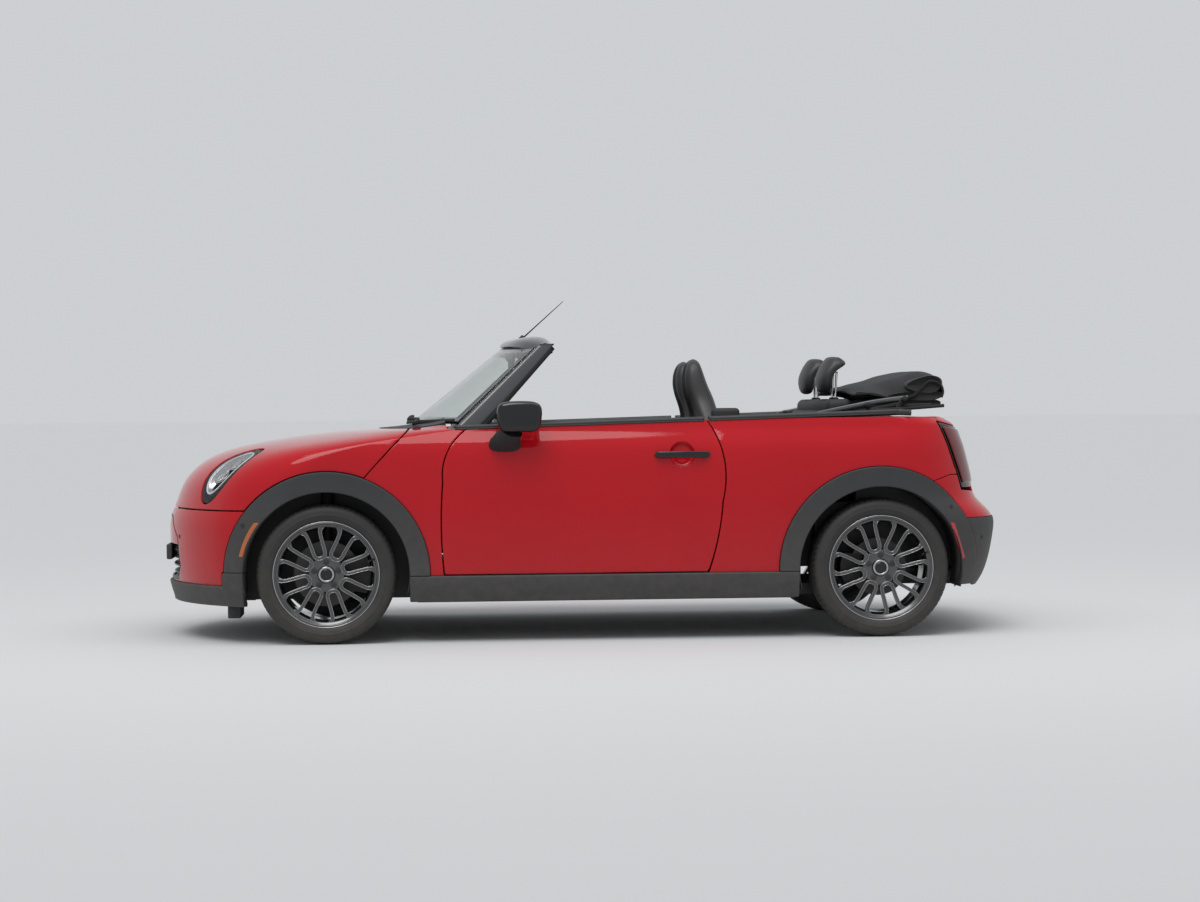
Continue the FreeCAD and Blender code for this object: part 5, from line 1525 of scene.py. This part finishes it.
def makeGrille():
    # a frame round the mouth, honeycomb behind, rounded slats and the blank plate holder
    line = outlineFlat([(-.24, .557), (-.373, .468), (-.396, .33), (-.342, .271), (.342, .271), (.396, .33),
        (.373, .468), (.24, .557)])
    path = stacked(noseX(line[:, 0], line[:, 1], .006), line[:, 0], line[:, 1])
    frameRings = sweepRings(np.concatenate([path, path[:1]]), 12, .012, .02, power=3.0)
    frame = cappedLoop(frameRings[:-1])
    y, z = gridOf(np.linspace(-.49, .49, 60), np.linspace(.265, .562, 24))
    half = np.interp(z, [.265, .33, .468, .562], [.34, .394, .37, .237])
    y = y / .49 * half
    grid = stacked(noseX(y, z, .036), y, z)
    addMesh("grille_mesh", gridSlab(grid, grid + np.array([.01, 0, 0])), grilleMesh, "body", ["grille"])
    bars = []
    for height in grille["slats"]:
        y = np.linspace(-.372, .372, 60)
        path = stacked(noseX(y, height, .024), y, height)
        bars.append(sweepPart(path, 14, .02, .012, power=2.6))
    addMesh("grille_slats", [frame] + bars, lampBlack)
    low, high = grille["plate"]
    holder = roundedBox((nose + .006, 0, (low + high) / 2), (.028, grille["plateHalf"] * 2, high - low), .008)
    studs = [lathePart([(0, 0), (0, .006), (.003, .005), (.004, 0)], 16, (nose - .0075, k, .388), (-1, 0, 0))
        for k in (-.085, .085)]
    addMesh("plate_holder", [holder] + studs, trimPlastic)


def makeMarkers():
    # amber strips in the front arches, red reflectors at the rear corners and round sensors
    strip = [outsideArch(frontAxle, .3795), insideArch(frontAxle, .398), sideBox(frontAxle, -.5, -.26, .395, .548)]
    shape = [fromSide([(1.633, .514), (1.652, .511), (1.71, .35), (1.692, .346)])]
    for name, first, last, low, high, edges, proud, look in (("front", frontAxle - .4, frontAxle - .27, .37, .57,
            strip, .0168, amberGlass), ("rear", rearAxle + .3, rearAxle + .42, .335, .525, shape, .017, redLens)):
        points = sideShares(spaced(first, last, .0022), spaced(low, high, .0022))
        addBoth(name + "_markers", cutPatch(points, edges, offset=proud, thick=.006, inset=.0016), look)
    dots = []
    for x, z, proud in ((-1.5425, .533, .015), (1.6355, .577, .015), (-1.865, .47, 0.0), (1.8, .44, .003)):
        middle, normal = sideNormal(x, z)
        dots.append(lathePart([(-.004, 0), (-.004, .0105), (.0008, .01), (.0014, .0086), (.0002, .008), (.001, 0)], 28,
            middle + normal * proud, normal))
    addBoth("sensor_dots", dots, darkPlastic)


def makeTip():
    tube = lathePart([(0, .026), (0, .031), (.006, .034), (.12, .034), (.126, .0335), (.128, .0315), (.126, .0295),
        (.02, .028), (.012, 0)], 48, (tail - .15, pipe["y"], pipe["z"]), (1, 0, 0))
    addMesh("exhaust_tip", tube, brightMetal)


def meshMaterial():
    # round holes in offset rows, painted on the sheet: dark inside, as painted shade in the holes, and lighter between
    made, tree, shader = material("grille_mesh", rough=.45)
    comb = addNode(tree, "TexVoronoi", Vector=objectPlace(tree), Scale=62.0, Randomness=0.0)
    edge = spread(tree, comb.outputs["Distance"], From_Min=.3, From_Max=.42)
    # the holes' near-black is painted shade
    setValues(shader, normal=bumps(tree, edge, 1.0, .004), base=mixColour(tree, edge, (.001, .001, .001),
        (.022, .022, .024)))
    return made


def reflectorMaterial():
    # the ribbed inside of a tail lamp: the bright and dark red bands along its ribs are painted highlight and painted
    # shade
    made, tree, shader = material("tail_reflector", rough=.22, coat=.8)
    wave = addNode(tree, "TexWave", bands_direction="Z", Vector=objectPlace(tree), Scale=26.0).outputs["Fac"]
    # bright bands are painted highlight on the ribs, dark bands painted shade
    setValues(shader, normal=bumps(tree, wave, .6, .002), base=mixColour(tree, wave, (.1, .003, .005),
        (.62, .03, .04)))
    return made


def coverMaterial():
    # a thin clear cover: nearly all see-through, with its gloss growing at a slant
    made, tree, shader = material("clear_cover", base=(.004, .005, .006), rough=.03, ior=1.35)
    slant = addNode(tree, "LayerWeight", Blend=.25)
    setValues(shader, alpha=spread(tree, slant.outputs["Facing"], To_Min=.03, To_Max=.3))
    return made


clearCover = coverMaterial()
lampBlack = mouldedMaterial("lamp_black", (.0045, .0045, .005), rough=.34, depth=0.0, specular=.3)
bowlMetal = metalMaterial("bowl_metal", (.62, .63, .65), rough=.16, streak=.03)
grilleMesh = meshMaterial()
tailReflector = reflectorMaterial()
makeHeadlamps()
makeTailLamps()
makeGrille()
makeMarkers()
makeTip()
print("lamps and grille ready")


# seats: every pad is a stack of level rings, whose depth and width change with height
def padTable(rows, around, power, steps, roundOff):
    # the rows' four columns made dense, a ring's two waves, the share along and how the ends round off
    rows = np.array(rows, float)
    at = np.linspace(0, len(rows) - 1, steps)
    dense = naturalSpline(np.arange(len(rows), dtype=float), rows, at)
    angle, along = circle(around)[None, :], (at / at[-1])[:, None]
    return (*(dense[:, k][:, None] for k in range(4)), rounded(np.cos(angle), 2 / power),
        rounded(np.sin(angle), 2 / power), along, np.clip(1 - np.abs(2 * along - 1) ** roundOff, .02, 1) ** .5)


def padRings(rows, around=72, steps=48, hollow=0.0, crown=0.0):
    # rows are (height, front x, rear x, half width); hollow sinks the middle of the front between two bolsters
    z, front, rear, half, across, deep, along, close = padTable(rows, around, 2.7, steps, 9)
    middle, reach = (front + rear) / 2, (rear - front) / 2
    forward = np.clip(-deep, 0, 1)
    dish = hollow * forward * (1 - np.clip(np.abs(across) / .62, 0, 1) ** 4) * np.clip(2 - np.abs(4 * along - 2), 0, 1)
    bulge = crown * forward * (1 - across ** 2)
    x = middle + reach * deep * close + dish - bulge
    y = half * across * close
    return stacked(x, y, z)


def seamOn(rings, column, radius=.0022, first=2, last=-2, lift=.0006):
    # a sewn seam: a thin cord that follows one column of the rings
    line = rings[first:last, column]
    middle = rings[first:last].mean(1)
    outwards = unit(line - middle)
    return sweepPart(line + outwards * lift, 8, radius * 2)


def flatPad(rows):
    # a cushion lying down: rows are (x, low z, high z, half width) from front to rear
    x, low, high, half, across, up, along, close = padTable(rows, 64, 3.0, 40, 10)
    lift = np.clip(up, 0, 1) * .018 * np.clip(np.abs(across) * 1.6 - .7, 0, 1)
    z = (low + high) / 2 + (high - low) / 2 * up * close + lift
    return stacked(x, half * across * close, z)


seat = {"place": .37, "x": frontAxle + 1.24}
seatBackRows = [  # height, front x, rear x, half width, from the seat's own front
    (.4, .44, .56, .215), (.47, .405, .56, .238), (.6, .412, .565, .248),
    (.76, .436, .572, .244), (.9, .446, .578, .232), (.985, .446, .574, .205),
    (1.04, .436, .56, .168), (1.09, .418, .545, .14), (1.15, .404, .52, .124),
    (1.21, .408, .5, .108), (1.25, .424, .486, .084), (1.268, .44, .474, .05)]
seatCushionRows = [(0.0, .35, .45, .225), (.02, .335, .478, .245), (.12, .33, .49, .254), (.28, .33, .478, .25),
    (.42, .33, .462, .24), (.5, .335, .448, .23), (.52, .35, .43, .222)]


def makeFrontSeats():
    back = padRings(seatBackRows, around=96, steps=84, hollow=.026)
    cushion = flatPad(seatCushionRows)
    for name, side, slid in (("left", -1, 0), ("right", 1, .03)):
        place = (seat["x"] + slid, side * seat["place"], 0)
        backPad = addMesh("seat_back_" + name, shifted(cappedTube(back), place), seatLeather, "body", ["front_seats"]
            if side < 0 else ())
        cushionPad = addMesh("seat_cushion_" + name, shifted(cappedTube(cushion), place), seatLeather)
        seams = [seamOn(back, column, first=6, last=-9) for column in (9, 39, 66, 78)]
        seams += [seamOn(cushion, column) for column in (10, 22)]
        addMesh("seat_seams_" + name, shifted(joinParts(seams), place), seamThread)
        rails = [roundedBox((.26, k * .18, .292), (.46, .04, .1), .01) for k in (-1, 1)]
        rails.append(roundedBox((.285, 0, .335), (.42, .4, .045), .015))
        rails.append(lathePart([(0, 0), (0, .03), (.01, .034), (.018, .03), (.018, 0)], 32, (.485, side * .238, .43),
            (0, side, 0)))
        addMesh("seat_frame_" + name, shifted(joinParts(rails), place), darkPlastic)


bench = {"x": rearAxle - .6, "restHalf": .28}


def makeRearSeat():
    x = bench["x"]
    cushion, back = [], []
    for side in (-1, 1):
        rows = [(0.0, .32, .42, .245), (.02, .302, .462, .262), (.12, .302, .48, .266), (.22, .302, .456, .262),
            (.25, .32, .44, .25)]
        cushion.append(shifted(cappedTube(flatPad(rows)), (x, side * .285, 0)))
        rows = [(.44, .205, .33, .25), (.52, .222, .345, .262), (.7, .285, .38, .262), (.88, .35, .44, .256),
            (.98, .392, .49, .244), (1.03, .425, .51, .22)]
        back.append(shifted(cappedTube(padRings(rows, hollow=.018)), (x, side * .285, 0)))
    cushionPad = addMesh("rear_seat_cushion", cushion, seatLeather, "body", ["rear_seat"])
    backPad = addMesh("rear_seat_back", back, seatLeather)
    shell = boxes(x, ((.452, 0, .815), (.13, 1.12, .42), .03), ((.474, 0, 1.036), (.124, .98, .084), .034),
        ((.28, 0, .45), (.11, 1.14, .29), .02), *(((-.08, side * .643, .985), (.13, .056, .11), .02)
        for side in (-1, 1)))
    addMesh("rear_seat_shell", shell, cabinPlastic)
    # headrests that lean forward on two bright posts, with a hooked rear top
    rows = [(1.102, .424, .446, .072), (1.12, .41, .458, .106), (1.166, .403, .466, .12), (1.205, .412, .482, .121),
        (1.232, .424, .52, .117), (1.25, .435, .528, .108), (1.268, .449, .508, .086), (1.276, .46, .49, .052)]
    rest = padRings(rows, steps=56, crown=.006)
    rests, posts, seams, caps = [], [], [], []
    for side in (-1, 1):
        place = (x, side * bench["restHalf"], 0)
        rests.append(shifted(cappedTube(rest), place))
        seams += [shifted(seamOn(rest, column, first=5, last=-6), place) for column in (4, 32)]
        for k in (-.05, .05):
            line = smoothPath([(.486, k, 1.205), (.482, k, 1.16), (.48, k, 1.1), (.476, k, 1.03)], 24)
            posts.append(shifted(sweepPart(line, 12, .011), place))
            caps.append(shifted(lathePart([(0, 0), (0, .016), (.01, .013), (.012, 0)], 24, (.479, k, 1.074),
                (.05, 0, 1)), place))
    restPad = addMesh("rear_headrests", rests, seatLeather)
    addMesh("rear_headrest_seams", seams, seamThread)
    addMesh("rear_headrest_posts", posts, brightMetal)
    addMesh("rear_headrest_caps", caps, darkPlastic)


seamThread = mouldedMaterial("seam_thread", (.035, .035, .036), rough=.7, grain=.0012, depth=.6)
makeFrontSeats()
makeRearSeat()
print("seats ready")


# folded soft top: a wide upper cloth over three rolled layers, resting on its links
softTop = {"half": .56, "thick": .009}
upperLine = np.array([  # x and z along the middle of the upper cloth, front to rear
    (1.236, 1.116), (1.262, 1.128), (1.33, 1.143), (1.42, 1.166), (1.5, 1.188), (1.56, 1.202), (1.6, 1.205),
    (1.64, 1.198), (1.672, 1.18), (1.694, 1.154), (1.703, 1.124), (1.694, 1.102)])
sideDrop = np.array([  # x, and how far the cloth's side edge hangs below its middle
    (1.236, .002), (1.3, .022), (1.37, .052), (1.425, .084), (1.47, .092), (1.514, .09), (1.56, .068),
    (1.61, .04), (1.66, .02), (1.703, .01)])


def softNoise(a, b, seed, scale):
    # slow waves of mixed directions, the same on every run
    chance = np.random.default_rng(seed)
    total = np.zeros_like(a)
    for _ in range(7):
        turn, phase = chance.uniform(0, 2 * np.pi, 2)
        step = scale * chance.uniform(.6, 1.9)
        total += np.sin((a * math.cos(turn) + b * math.sin(turn)) / step + phase)
    return total / 7


def makeUpperCloth():
    line = smoothPath(upperLine, 110)
    across = np.concatenate([np.linspace(-1, -.8, 14), np.linspace(-.78, .78, 56), np.linspace(.8, 1, 14)])
    t, y = gridOf(np.arange(len(line)), across)
    x, z = line[t, 0], line[t, 1]
    drop = np.interp(x, sideDrop[:, 0], sideDrop[:, 1])
    side = np.abs(y)
    fall = drop * np.clip((side - .62) / .38, 0, 1) ** 1.7
    crown = .012 * (1 - side ** 2)
    folds = .0035 * softNoise(x, y * softTop["half"], 5, .1) + .0016 * softNoise(x, y * softTop["half"], 8, .03)
    pull = .004 * np.sin(x * 46 + 3 * y) * np.clip((side - .45) / .4, 0, 1)
    z = z - fall + crown - .01 + folds + pull
    x = x + .01 * side ** 6 - .046 * side ** 4 * np.clip((x - 1.5) / .2, 0, 1)
    reach = softTop["half"] * (1 - .022 * np.clip((x - 1.6) / .1, 0, 1))
    grid = stacked(x, y * reach, z)
    return addMesh("soft_top_upper", sheetPart(grid, softTop["thick"]), softTopCloth, "body", ["soft_top"])


def foldedLayer(low, high, front, rear, seed):
    # one folded layer: a flat loop of cloth in section, thicker and rounder at its rear bend
    angle = circle(72)
    across = np.linspace(-1, 1, 60)
    turn, y = gridOf(angle, across)
    middle, reach = (front + rear) / 2, (rear - front) / 2
    x = middle + reach * rounded(np.cos(turn), .75)
    share = (x - front) / (rear - front)
    centre = low + (high - low) * (.4 + .1 * share)
    tall = (high - low) / 2 * (.55 + .45 * np.clip(share * 1.6, 0, 1))
    z = centre + tall * rounded(np.sin(turn), .8)
    z = z + .0045 * softNoise(x, y * .56, seed, .06) - .01 * np.abs(y) ** 3
    x = x + .006 * softNoise(y * .56, z, seed + 3, .08) - .044 * y ** 4 * np.clip((x - 1.5) / .2, 0, 1)
    width = softTop["half"] * (.985 - .015 * np.cos(turn))
    rings = stacked(x, y * width, z).transpose(1, 0, 2)
    return cappedTube(rings)


def makeFoldedTop():
    upper = makeUpperCloth()
    layers = [foldedLayer(1.112, 1.194, 1.49, 1.699, 21), foldedLayer(1.076, 1.124, 1.4, 1.7, 33),
        foldedLayer(1.04, 1.083, 1.3, 1.69, 45)]
    rolled = addMesh("soft_top_layers", layers, softTopCloth)
    # binding along the upper cloth's side edges
    line = smoothPath(upperLine, 110)
    drop = np.interp(line[:, 0], sideDrop[:, 0], sideDrop[:, 1])
    edge = stacked(line[:, 0] + .01, -softTop["half"] * .996, line[:, 1] - drop - .014)
    edge[:, 1] += softTop["half"] * .022 * np.clip((line[:, 0] - 1.6) / .1, 0, 1)
    hem = sweepPart(edge[(edge[:, 0] < 1.54)][2:], 8, .004, .009)
    hems = addMesh("soft_top_hems", [hem, mirrorPart(hem)], softTopCloth)
    return upper, hems


def makeLinks():
    # the grey outer link along each side, the black arms and joints beneath, and the folded frame's rails
    dark = []
    bar = smoothPath([(1.056, -.64, 1.0), (1.08, -.622, 1.012), (1.2, -.6, 1.036), (1.34, -.592, 1.062),
        (1.49, -.586, 1.08)], 50)
    linkGrey = sweepPart(bar, 14, .014, .022, power=3.0)
    for spots, wide, tall in ((((1.06, -.61, 1.0), (1.25, -.596, 1.014), (1.47, -.586, 1.056)), .012, .02),
            (((1.12, -.59, 1.016), (1.33, -.586, 1.036), (1.6, -.575, 1.046)), .01, .018),
            (((1.3, -.6, 1.022), (1.48, -.595, 1.03), (1.66, -.575, 1.042)), .014, .016), (((1.435, -.592, 1.012),
            (1.45, -.59, 1.05), (1.48, -.588, 1.086)), .012, .024)):
        dark.append(sweepPart(smoothPath(spots, 30), 12, wide, tall, power=3.0))
    for x, z in ((1.085, 1.01), (1.3, 1.048), (1.47, 1.074), (1.455, 1.02)):
        dark.append(lathePart([(-.01, 0), (-.01, .011), (-.006, .013), (.006, .013), (.01, .011), (.01, 0)], 20,
            (x, -.604, z), (0, 1, 0)))
    dark.append(sweepPart([(1.053, -.629, .902), (1.055, -.627, .95), (1.06, -.622, 1.004)], 12, .022, .03))
    linkDark = joinParts(dark)
    addMesh("roof_link_bars", [linkGrey, mirrorPart(linkGrey)], greyStrip, "body", ["roof_links"])
    addMesh("roof_link_arms", [linkDark, mirrorPart(linkDark)], darkPlastic)


upperCloth, hems = makeFoldedTop()
makeLinks()
print("folded top ready")


# dashboard: a rounded pad across the car, a round blank display, vents, a low console
dash = {"x": frontAxle + .5, "ends": (.672, .686, .688), "displayRadius": .118, "displayHeight": .868}
driverY = -.37
wheelSpot = {"middle": np.array([frontAxle + .86, driverY, .905]), "hoop": .182,
    "axis": np.array([math.cos(math.radians(24)), 0, math.sin(math.radians(24))])}
dashProfile = [  # x from the dashboard's front face and height, once round
    (.008, .7), (.008, .88), (.06, .932), (.15, .947), (.225, .938), (.258, .9), (.24, .826),
    (.2, .73), (.15, .655), (.06, .648)]


def closedCurve(spots, count):
    # a smooth closed line through the spots
    spots = np.array(spots, float)
    wrapped = np.concatenate([spots[-3:], spots, spots[:4]])
    at = np.linspace(0, len(spots), count, endpoint=False) + 3
    return naturalSpline(np.arange(len(wrapped), dtype=float), wrapped, at)


def makeDashboard():
    loop = closedCurve(dashProfile, 84)
    flat, turn, half = dash["ends"]
    y = np.concatenate([[-half, -turn], np.linspace(-flat, flat, 50), [turn, half]])
    grow = np.interp(np.abs(y), [0, flat, turn, half], [1, 1, .985, .965])[:, None]
    middle = loop.mean(0)
    ringX = dash["x"] + middle[0] + (loop[:, 0] - middle[0]) * grow
    ringX = ringX - .055 * (np.abs(y)[:, None] / half) ** 3 * np.clip((loop[:, 0] - .12) / .14, 0, 1)
    ringZ = middle[1] + (loop[:, 1] - middle[1]) * grow
    rings = stacked(ringX, y[:, None], ringZ)
    addMesh("dash_pad", cappedTube(rings), cabinPlastic, "body", ["dashboard"])
    # a knitted band along the face, from the door to the display on each side
    face = (loop[:, 1] > .8) & (loop[:, 1] < .88) & (loop[:, 0] > .2)
    index = np.where(face)[0]
    bands = []
    for first, last in ((4, 22), (31, 49)):
        front = rings[first:last][:, index] + np.array([.0035, 0, 0])
        bands.append(gridSlab(front, front - np.array([.006, 0, 0])))
    addMesh("dash_bands", bands, knitCloth)
    forward = (1, 0, .16)
    spot = (dash["x"] + .236, 0, dash["displayHeight"])
    r = dash["displayRadius"]
    addMesh("display_glass", lathePart([(0, 0), (0, r - .002), (.015, r - .002), (.0165, r - .005), (.0168, 0)], 80,
        spot, forward), blackGloss)
    addMesh("display_rim", lathePart([(-.01, r - .004), (-.01, r + .004), (.014, r + .005), (.0185, r + .002),
        (.0185, r - .002), (.012, r - .003)], 80, spot, forward), darkPlastic)
    vents, rims = [], []
    for y in (-.605, .605):
        here = (dash["x"] + .185, y, .862)
        rims.append(lathePart([(0, .04), (0, .052), (.016, .051), (.02, .047), (.016, .042)], 48, here, forward))
        vents.append(lathePart([(0, 0), (0, .042), (.008, .042), (.006, .012), (.014, .01), (.014, 0)], 48, here,
            forward))
    for y in (-.2, .2):
        vents.append(roundedBox((dash["x"] + .236, y, .9), (.03, .12, .022), .006))
    panel = roundedBox((dash["x"] + .205, 0, .722), (.04, .2, .04), .012)
    toggles = [roundedBox((dash["x"] + .228, k * .034, .722), (.014, .02, .024), .004) for k in range(-2, 3)]
    addMesh("dash_vents", vents + [panel], darkPlastic)
    addMesh("dash_vent_rims", rims + toggles, greyStrip)
    # column shroud, two stalks and a small hooded cluster behind the wheel
    tiltWay, hubSpot = -wheelSpot["axis"], wheelSpot["middle"]
    column = [lathePart([(.036, 0), (.036, .034), (.05, .042), (.12, .048), (.16, .052), (.16, 0)], 40, hubSpot,
        tiltWay)]
    for side in (-1, 1):
        base = hubSpot + tiltWay * .07
        stalk = [base + (0, side * .03, 0), base + (0, side * .09, .01), base + (.012, side * .15, .018)]
        column.append(sweepPart(smoothPath(stalk, 20), 14, .018, .011))
    cluster = roundedBox((dash["x"] + .19, driverY, .955), (.06, .16, .075), .02)
    addMesh("steering_column", column + [cluster], darkPlastic)
    glove = roundedBox((dash["x"] + .206, .38, .735), (.05, .36, .12), .022)
    addMesh("glove_box", glove, cabinPlastic)


def makeConsole():
    x = dash["x"]
    parts = boxes(x, ((.215, 0, .478), (.19, .18, .35), .022), ((.56, 0, .396), (.56, .186, .19), .026),
        ((1.045, 0, .38), (.49, .182, .158), .024))
    addMesh("console_shell", parts, cabinPlastic)
    arm = roundedBox((x + .99, 0, .474), (.33, .15, .04), .018)
    lever = [lathePart([(0, 0), (0, .03), (.012, .026), (.03, .013), (.07, .012), (.082, .022), (.108, .023),
        (.118, .016), (.121, 0)], 36, (x + .52, 0, .486), (.14, 0, 1))]
    ways = [lathePart([(0, .028), (0, .043), (.006, .044), (.008, .04), (-.01, .034), (-.03, .03), (-.03, 0.0)], 40,
        (x + k, 0, .489), (0, 0, 1)) for k in (.64, .735)]
    addMesh("console_armrest", arm, seatLeather)
    addMesh("console_lever", lever, blackGloss)
    addMesh("console_cups", ways, darkPlastic)
    pedals = [roundedBox((x + .06, y, .36), (.016, wide, .09), .006) for y, wide in ((driverY + .1, .05),
        (driverY, .09))]
    rods = [sweepPart([(x + .055, y, .38), (x + .02, y, .5), (x + .01, y, .66)], 10, .012, .018)
        for y in (driverY + .1, driverY)]
    addMesh("pedals", pedals + rods, darkPlastic)


def makeSteeringWheel():
    spot, axis = wheelSpot["middle"], wheelSpot["axis"]
    side = np.array([0.0, 1.0, 0.0])
    top = np.cross(axis, side)
    angle = circle(120)
    a, b = gridOf(angle, circle(22))
    # the rim is thicker where the thumbs rest
    fat = .0148 + .0012 * np.cos(2 * a) ** 8
    radius = wheelSpot["hoop"] + fat * np.cos(b)
    points = (spot + radius[..., None] * (np.cos(a)[..., None] * side + np.sin(a)[..., None] * top)
        + (fat * np.sin(b))[..., None] * axis)
    hoop = cappedLoop(points)
    seam = wheelSpot["hoop"] - .015
    line = spot + seam * (np.cos(angle)[:, None] * side + np.sin(angle)[:, None] * top)
    stitch = cappedLoop(sweepRings(np.concatenate([line, line[:1]]), 6, .003)[:-1])
    hub = lathePart([(-.028, 0), (-.028, .052), (-.01, .064), (.01, .062), (.02, .052), (.025, .03), (.026, 0)], 56,
        spot, axis)
    arms, plates = [], []
    for turn, wide in ((0.0, .034), (math.pi, .034), (-math.pi / 2, .022)):
        way = math.cos(turn) * side + math.sin(turn) * top
        middle = spot - axis * .006
        path = [middle + way * r + axis * lift for r, lift in ((.045, 0), (.09, .001), (.13, .004), (.172, .006))]
        arms.append(sweepPart(path, 14, wide, .014, power=3.0, up=axis))
        if wide > .03:
            spots = [middle + way * r + axis * .01 for r in (.068, .125)]
            plates.append(sweepPart(spots, 14, .026, .008, power=4.0, up=axis))
    addMesh("steering_rim", hoop, seatLeather, "steering_wheel", ["steering_wheel"])
    addMesh("steering_seam", stitch, seamThread, "steering_wheel")
    addMesh("steering_hub", [hub] + arms, cabinPlastic, "steering_wheel")
    addMesh("steering_switches", plates, blackGloss, "steering_wheel")
    ring = lathePart([(.0195, .026), (.0245, .028), (.0265, .031), (.0245, .034), (.0195, .034)], 48, spot, axis)
    addMesh("steering_ring", ring, brightMetal, "steering_wheel")


def makeWipers():
    blades, arms = [], []
    for start, end, pivot in ((-.93, -.06, (-.775, -.56, .985)), (-.02, .78, (-.8, .02, .995))):
        across = np.linspace(start, end, 40)
        share = np.linspace(.085, .06, 40)
        path = screenPoint(across, share, -.01)
        blades.append(sweepPart(path, 8, .009, .018, up=(.4, 0, 1)))
        mid = path[22]
        foot = np.array(pivot)
        spots = [foot, foot + (.01, .02, .018), (foot + mid) / 2 + (-.02, 0, .016), mid + (-.014, 0, .01)]
        arms.append(sweepPart(smoothPath(spots, 30), 12, .014, .01, power=3.0))
        arms.append(lathePart([(-.01, 0), (-.01, .02), (.008, .018), (.016, .01), (.017, 0)], 28, pivot, (-.3, 0, 1)))
    addMesh("wiper_blades", blades, rubberSeal)
    addMesh("wiper_arms", arms, darkPlastic)


def makeInnerMirror():
    case = roundedBox((-.318, 0, 1.262), (.026, .23, .062), .012)
    pane = roundedBox((-.3045, 0, 1.262), (.004, .216, .05), .0018)
    stem = sweepPart(smoothPath([(-.352, 0, 1.322), (-.345, 0, 1.3), (-.33, 0, 1.272)], 16), 12, .018)
    addMesh("inner_mirror", [case, stem], darkPlastic)
    addMesh("inner_mirror_glass", pane, mirrorSilver)
    visors = [roundedBox((-.225, side * .33, 1.306), (.13, .33, .016), .007) for side in (-1, 1)]
    addMesh("sun_visors", visors, cabinPlastic)


def makeBelts():
    parts, buckles = [], []
    for side in (-1, 1):
        spots = smoothPath([(.64, side * .655, .985), (.655, side * .668, .9), (.668, side * .672, .6),
            (.66, side * .668, .34)], 40)
        parts.append(sweepPart(spots, 10, .047, .0022, up=(0, side, 0), power=6.0))
        buckles.append(roundedBox((.64, side * .66, .99), (.075, .03, .034), .01))
        buckles.append(roundedBox((.42, side * .108, .47), (.026, .02, .11), .007))
    addMesh("seat_belts", parts, beltCloth)
    addMesh("seat_belt_guides", buckles, darkPlastic)


def makeEngineBay():
    x = frontAxle
    ribs = [((-.02, -.24 + .066 * k, .83), (.23, .03, .012), .005) for k in range(6)]
    cover = boxes(x, ((-.02, -.075, .806), (.29, .46, .044), .018), *ribs, ((-.09, .29, .64), (.27, .2, .19), .018),
        ((.17, .33, .69), (.2, .18, .18), .02), ((-.3, .06, .7), (.11, .56, .11), .03))
    addMesh("engine_cover", cover, darkPlastic)
    hose = [sweepPart(smoothPath([(x - .3, -.2, .7), (x - .26, -.3, .72), (x - .12, -.35, .69), (x + .02, -.36, .64)],
        40), 18, .052)]
    hose.append(sweepPart(smoothPath([(x - .25, .34, .74), (x - .1, .4, .77), (x + .1, .35, .79)], 40), 16, .034))
    addMesh("engine_hoses", hose, rubberSeal)
    caps = [lathePart([(0, 0), (0, .032), (.018, .03), (.022, .024), (.022, 0)], 32, (x + .05, -.24, .826), (0, 0, 1)),
        lathePart([(0, 0), (0, .026), (.02, .024), (.022, 0)], 32, (x + .17, .33, .78), (0, 0, 1))]
    addMesh("engine_caps", caps, blackGloss)


def zoneMaterial():
    # the tub: red where the door and lids uncover it, dark felt within, undercoat below
    made, tree, shader = material("tub_shell", rough=.62, coat=.25, coatRough=.25)
    place = objectPlace(tree)
    parts = axes(tree, place)
    outer = mathNode(tree, "GREATER_THAN", mathNode(tree, "ABSOLUTE", parts["Y"]), .7325)
    jamb = mathNode(tree, "MULTIPLY", outer, mathNode(tree, "GREATER_THAN", parts["Z"], .299))
    felt = mixColour(tree, noise(tree, place, 420, 3), (.006, .006, .006), (.024, .024, .025))
    under = mixColour(tree, mathNode(tree, "GREATER_THAN", parts["Z"], .229), (.016, .0155, .015), felt)
    setValues(shader, base=mixColour(tree, jamb, under, (.4, .0022, .008)))
    return made


knitCloth = clothMaterial("knit_band", (.03, .031, .033), (.085, .086, .09), thread=.003, depth=.8)
tubShell = zoneMaterial()
makeDashboard()
makeConsole()
makeSteeringWheel()
makeWipers()
makeInnerMirror()
makeBelts()
makeEngineBay()
# CAD nodes whose shape is right keep it
for name, look in (("body_tub", tubShell), ("cowl", trimPlastic), ("engine", castMetal)):
    frame["nodes"][name].data.materials[0] = look
print("cabin ready")
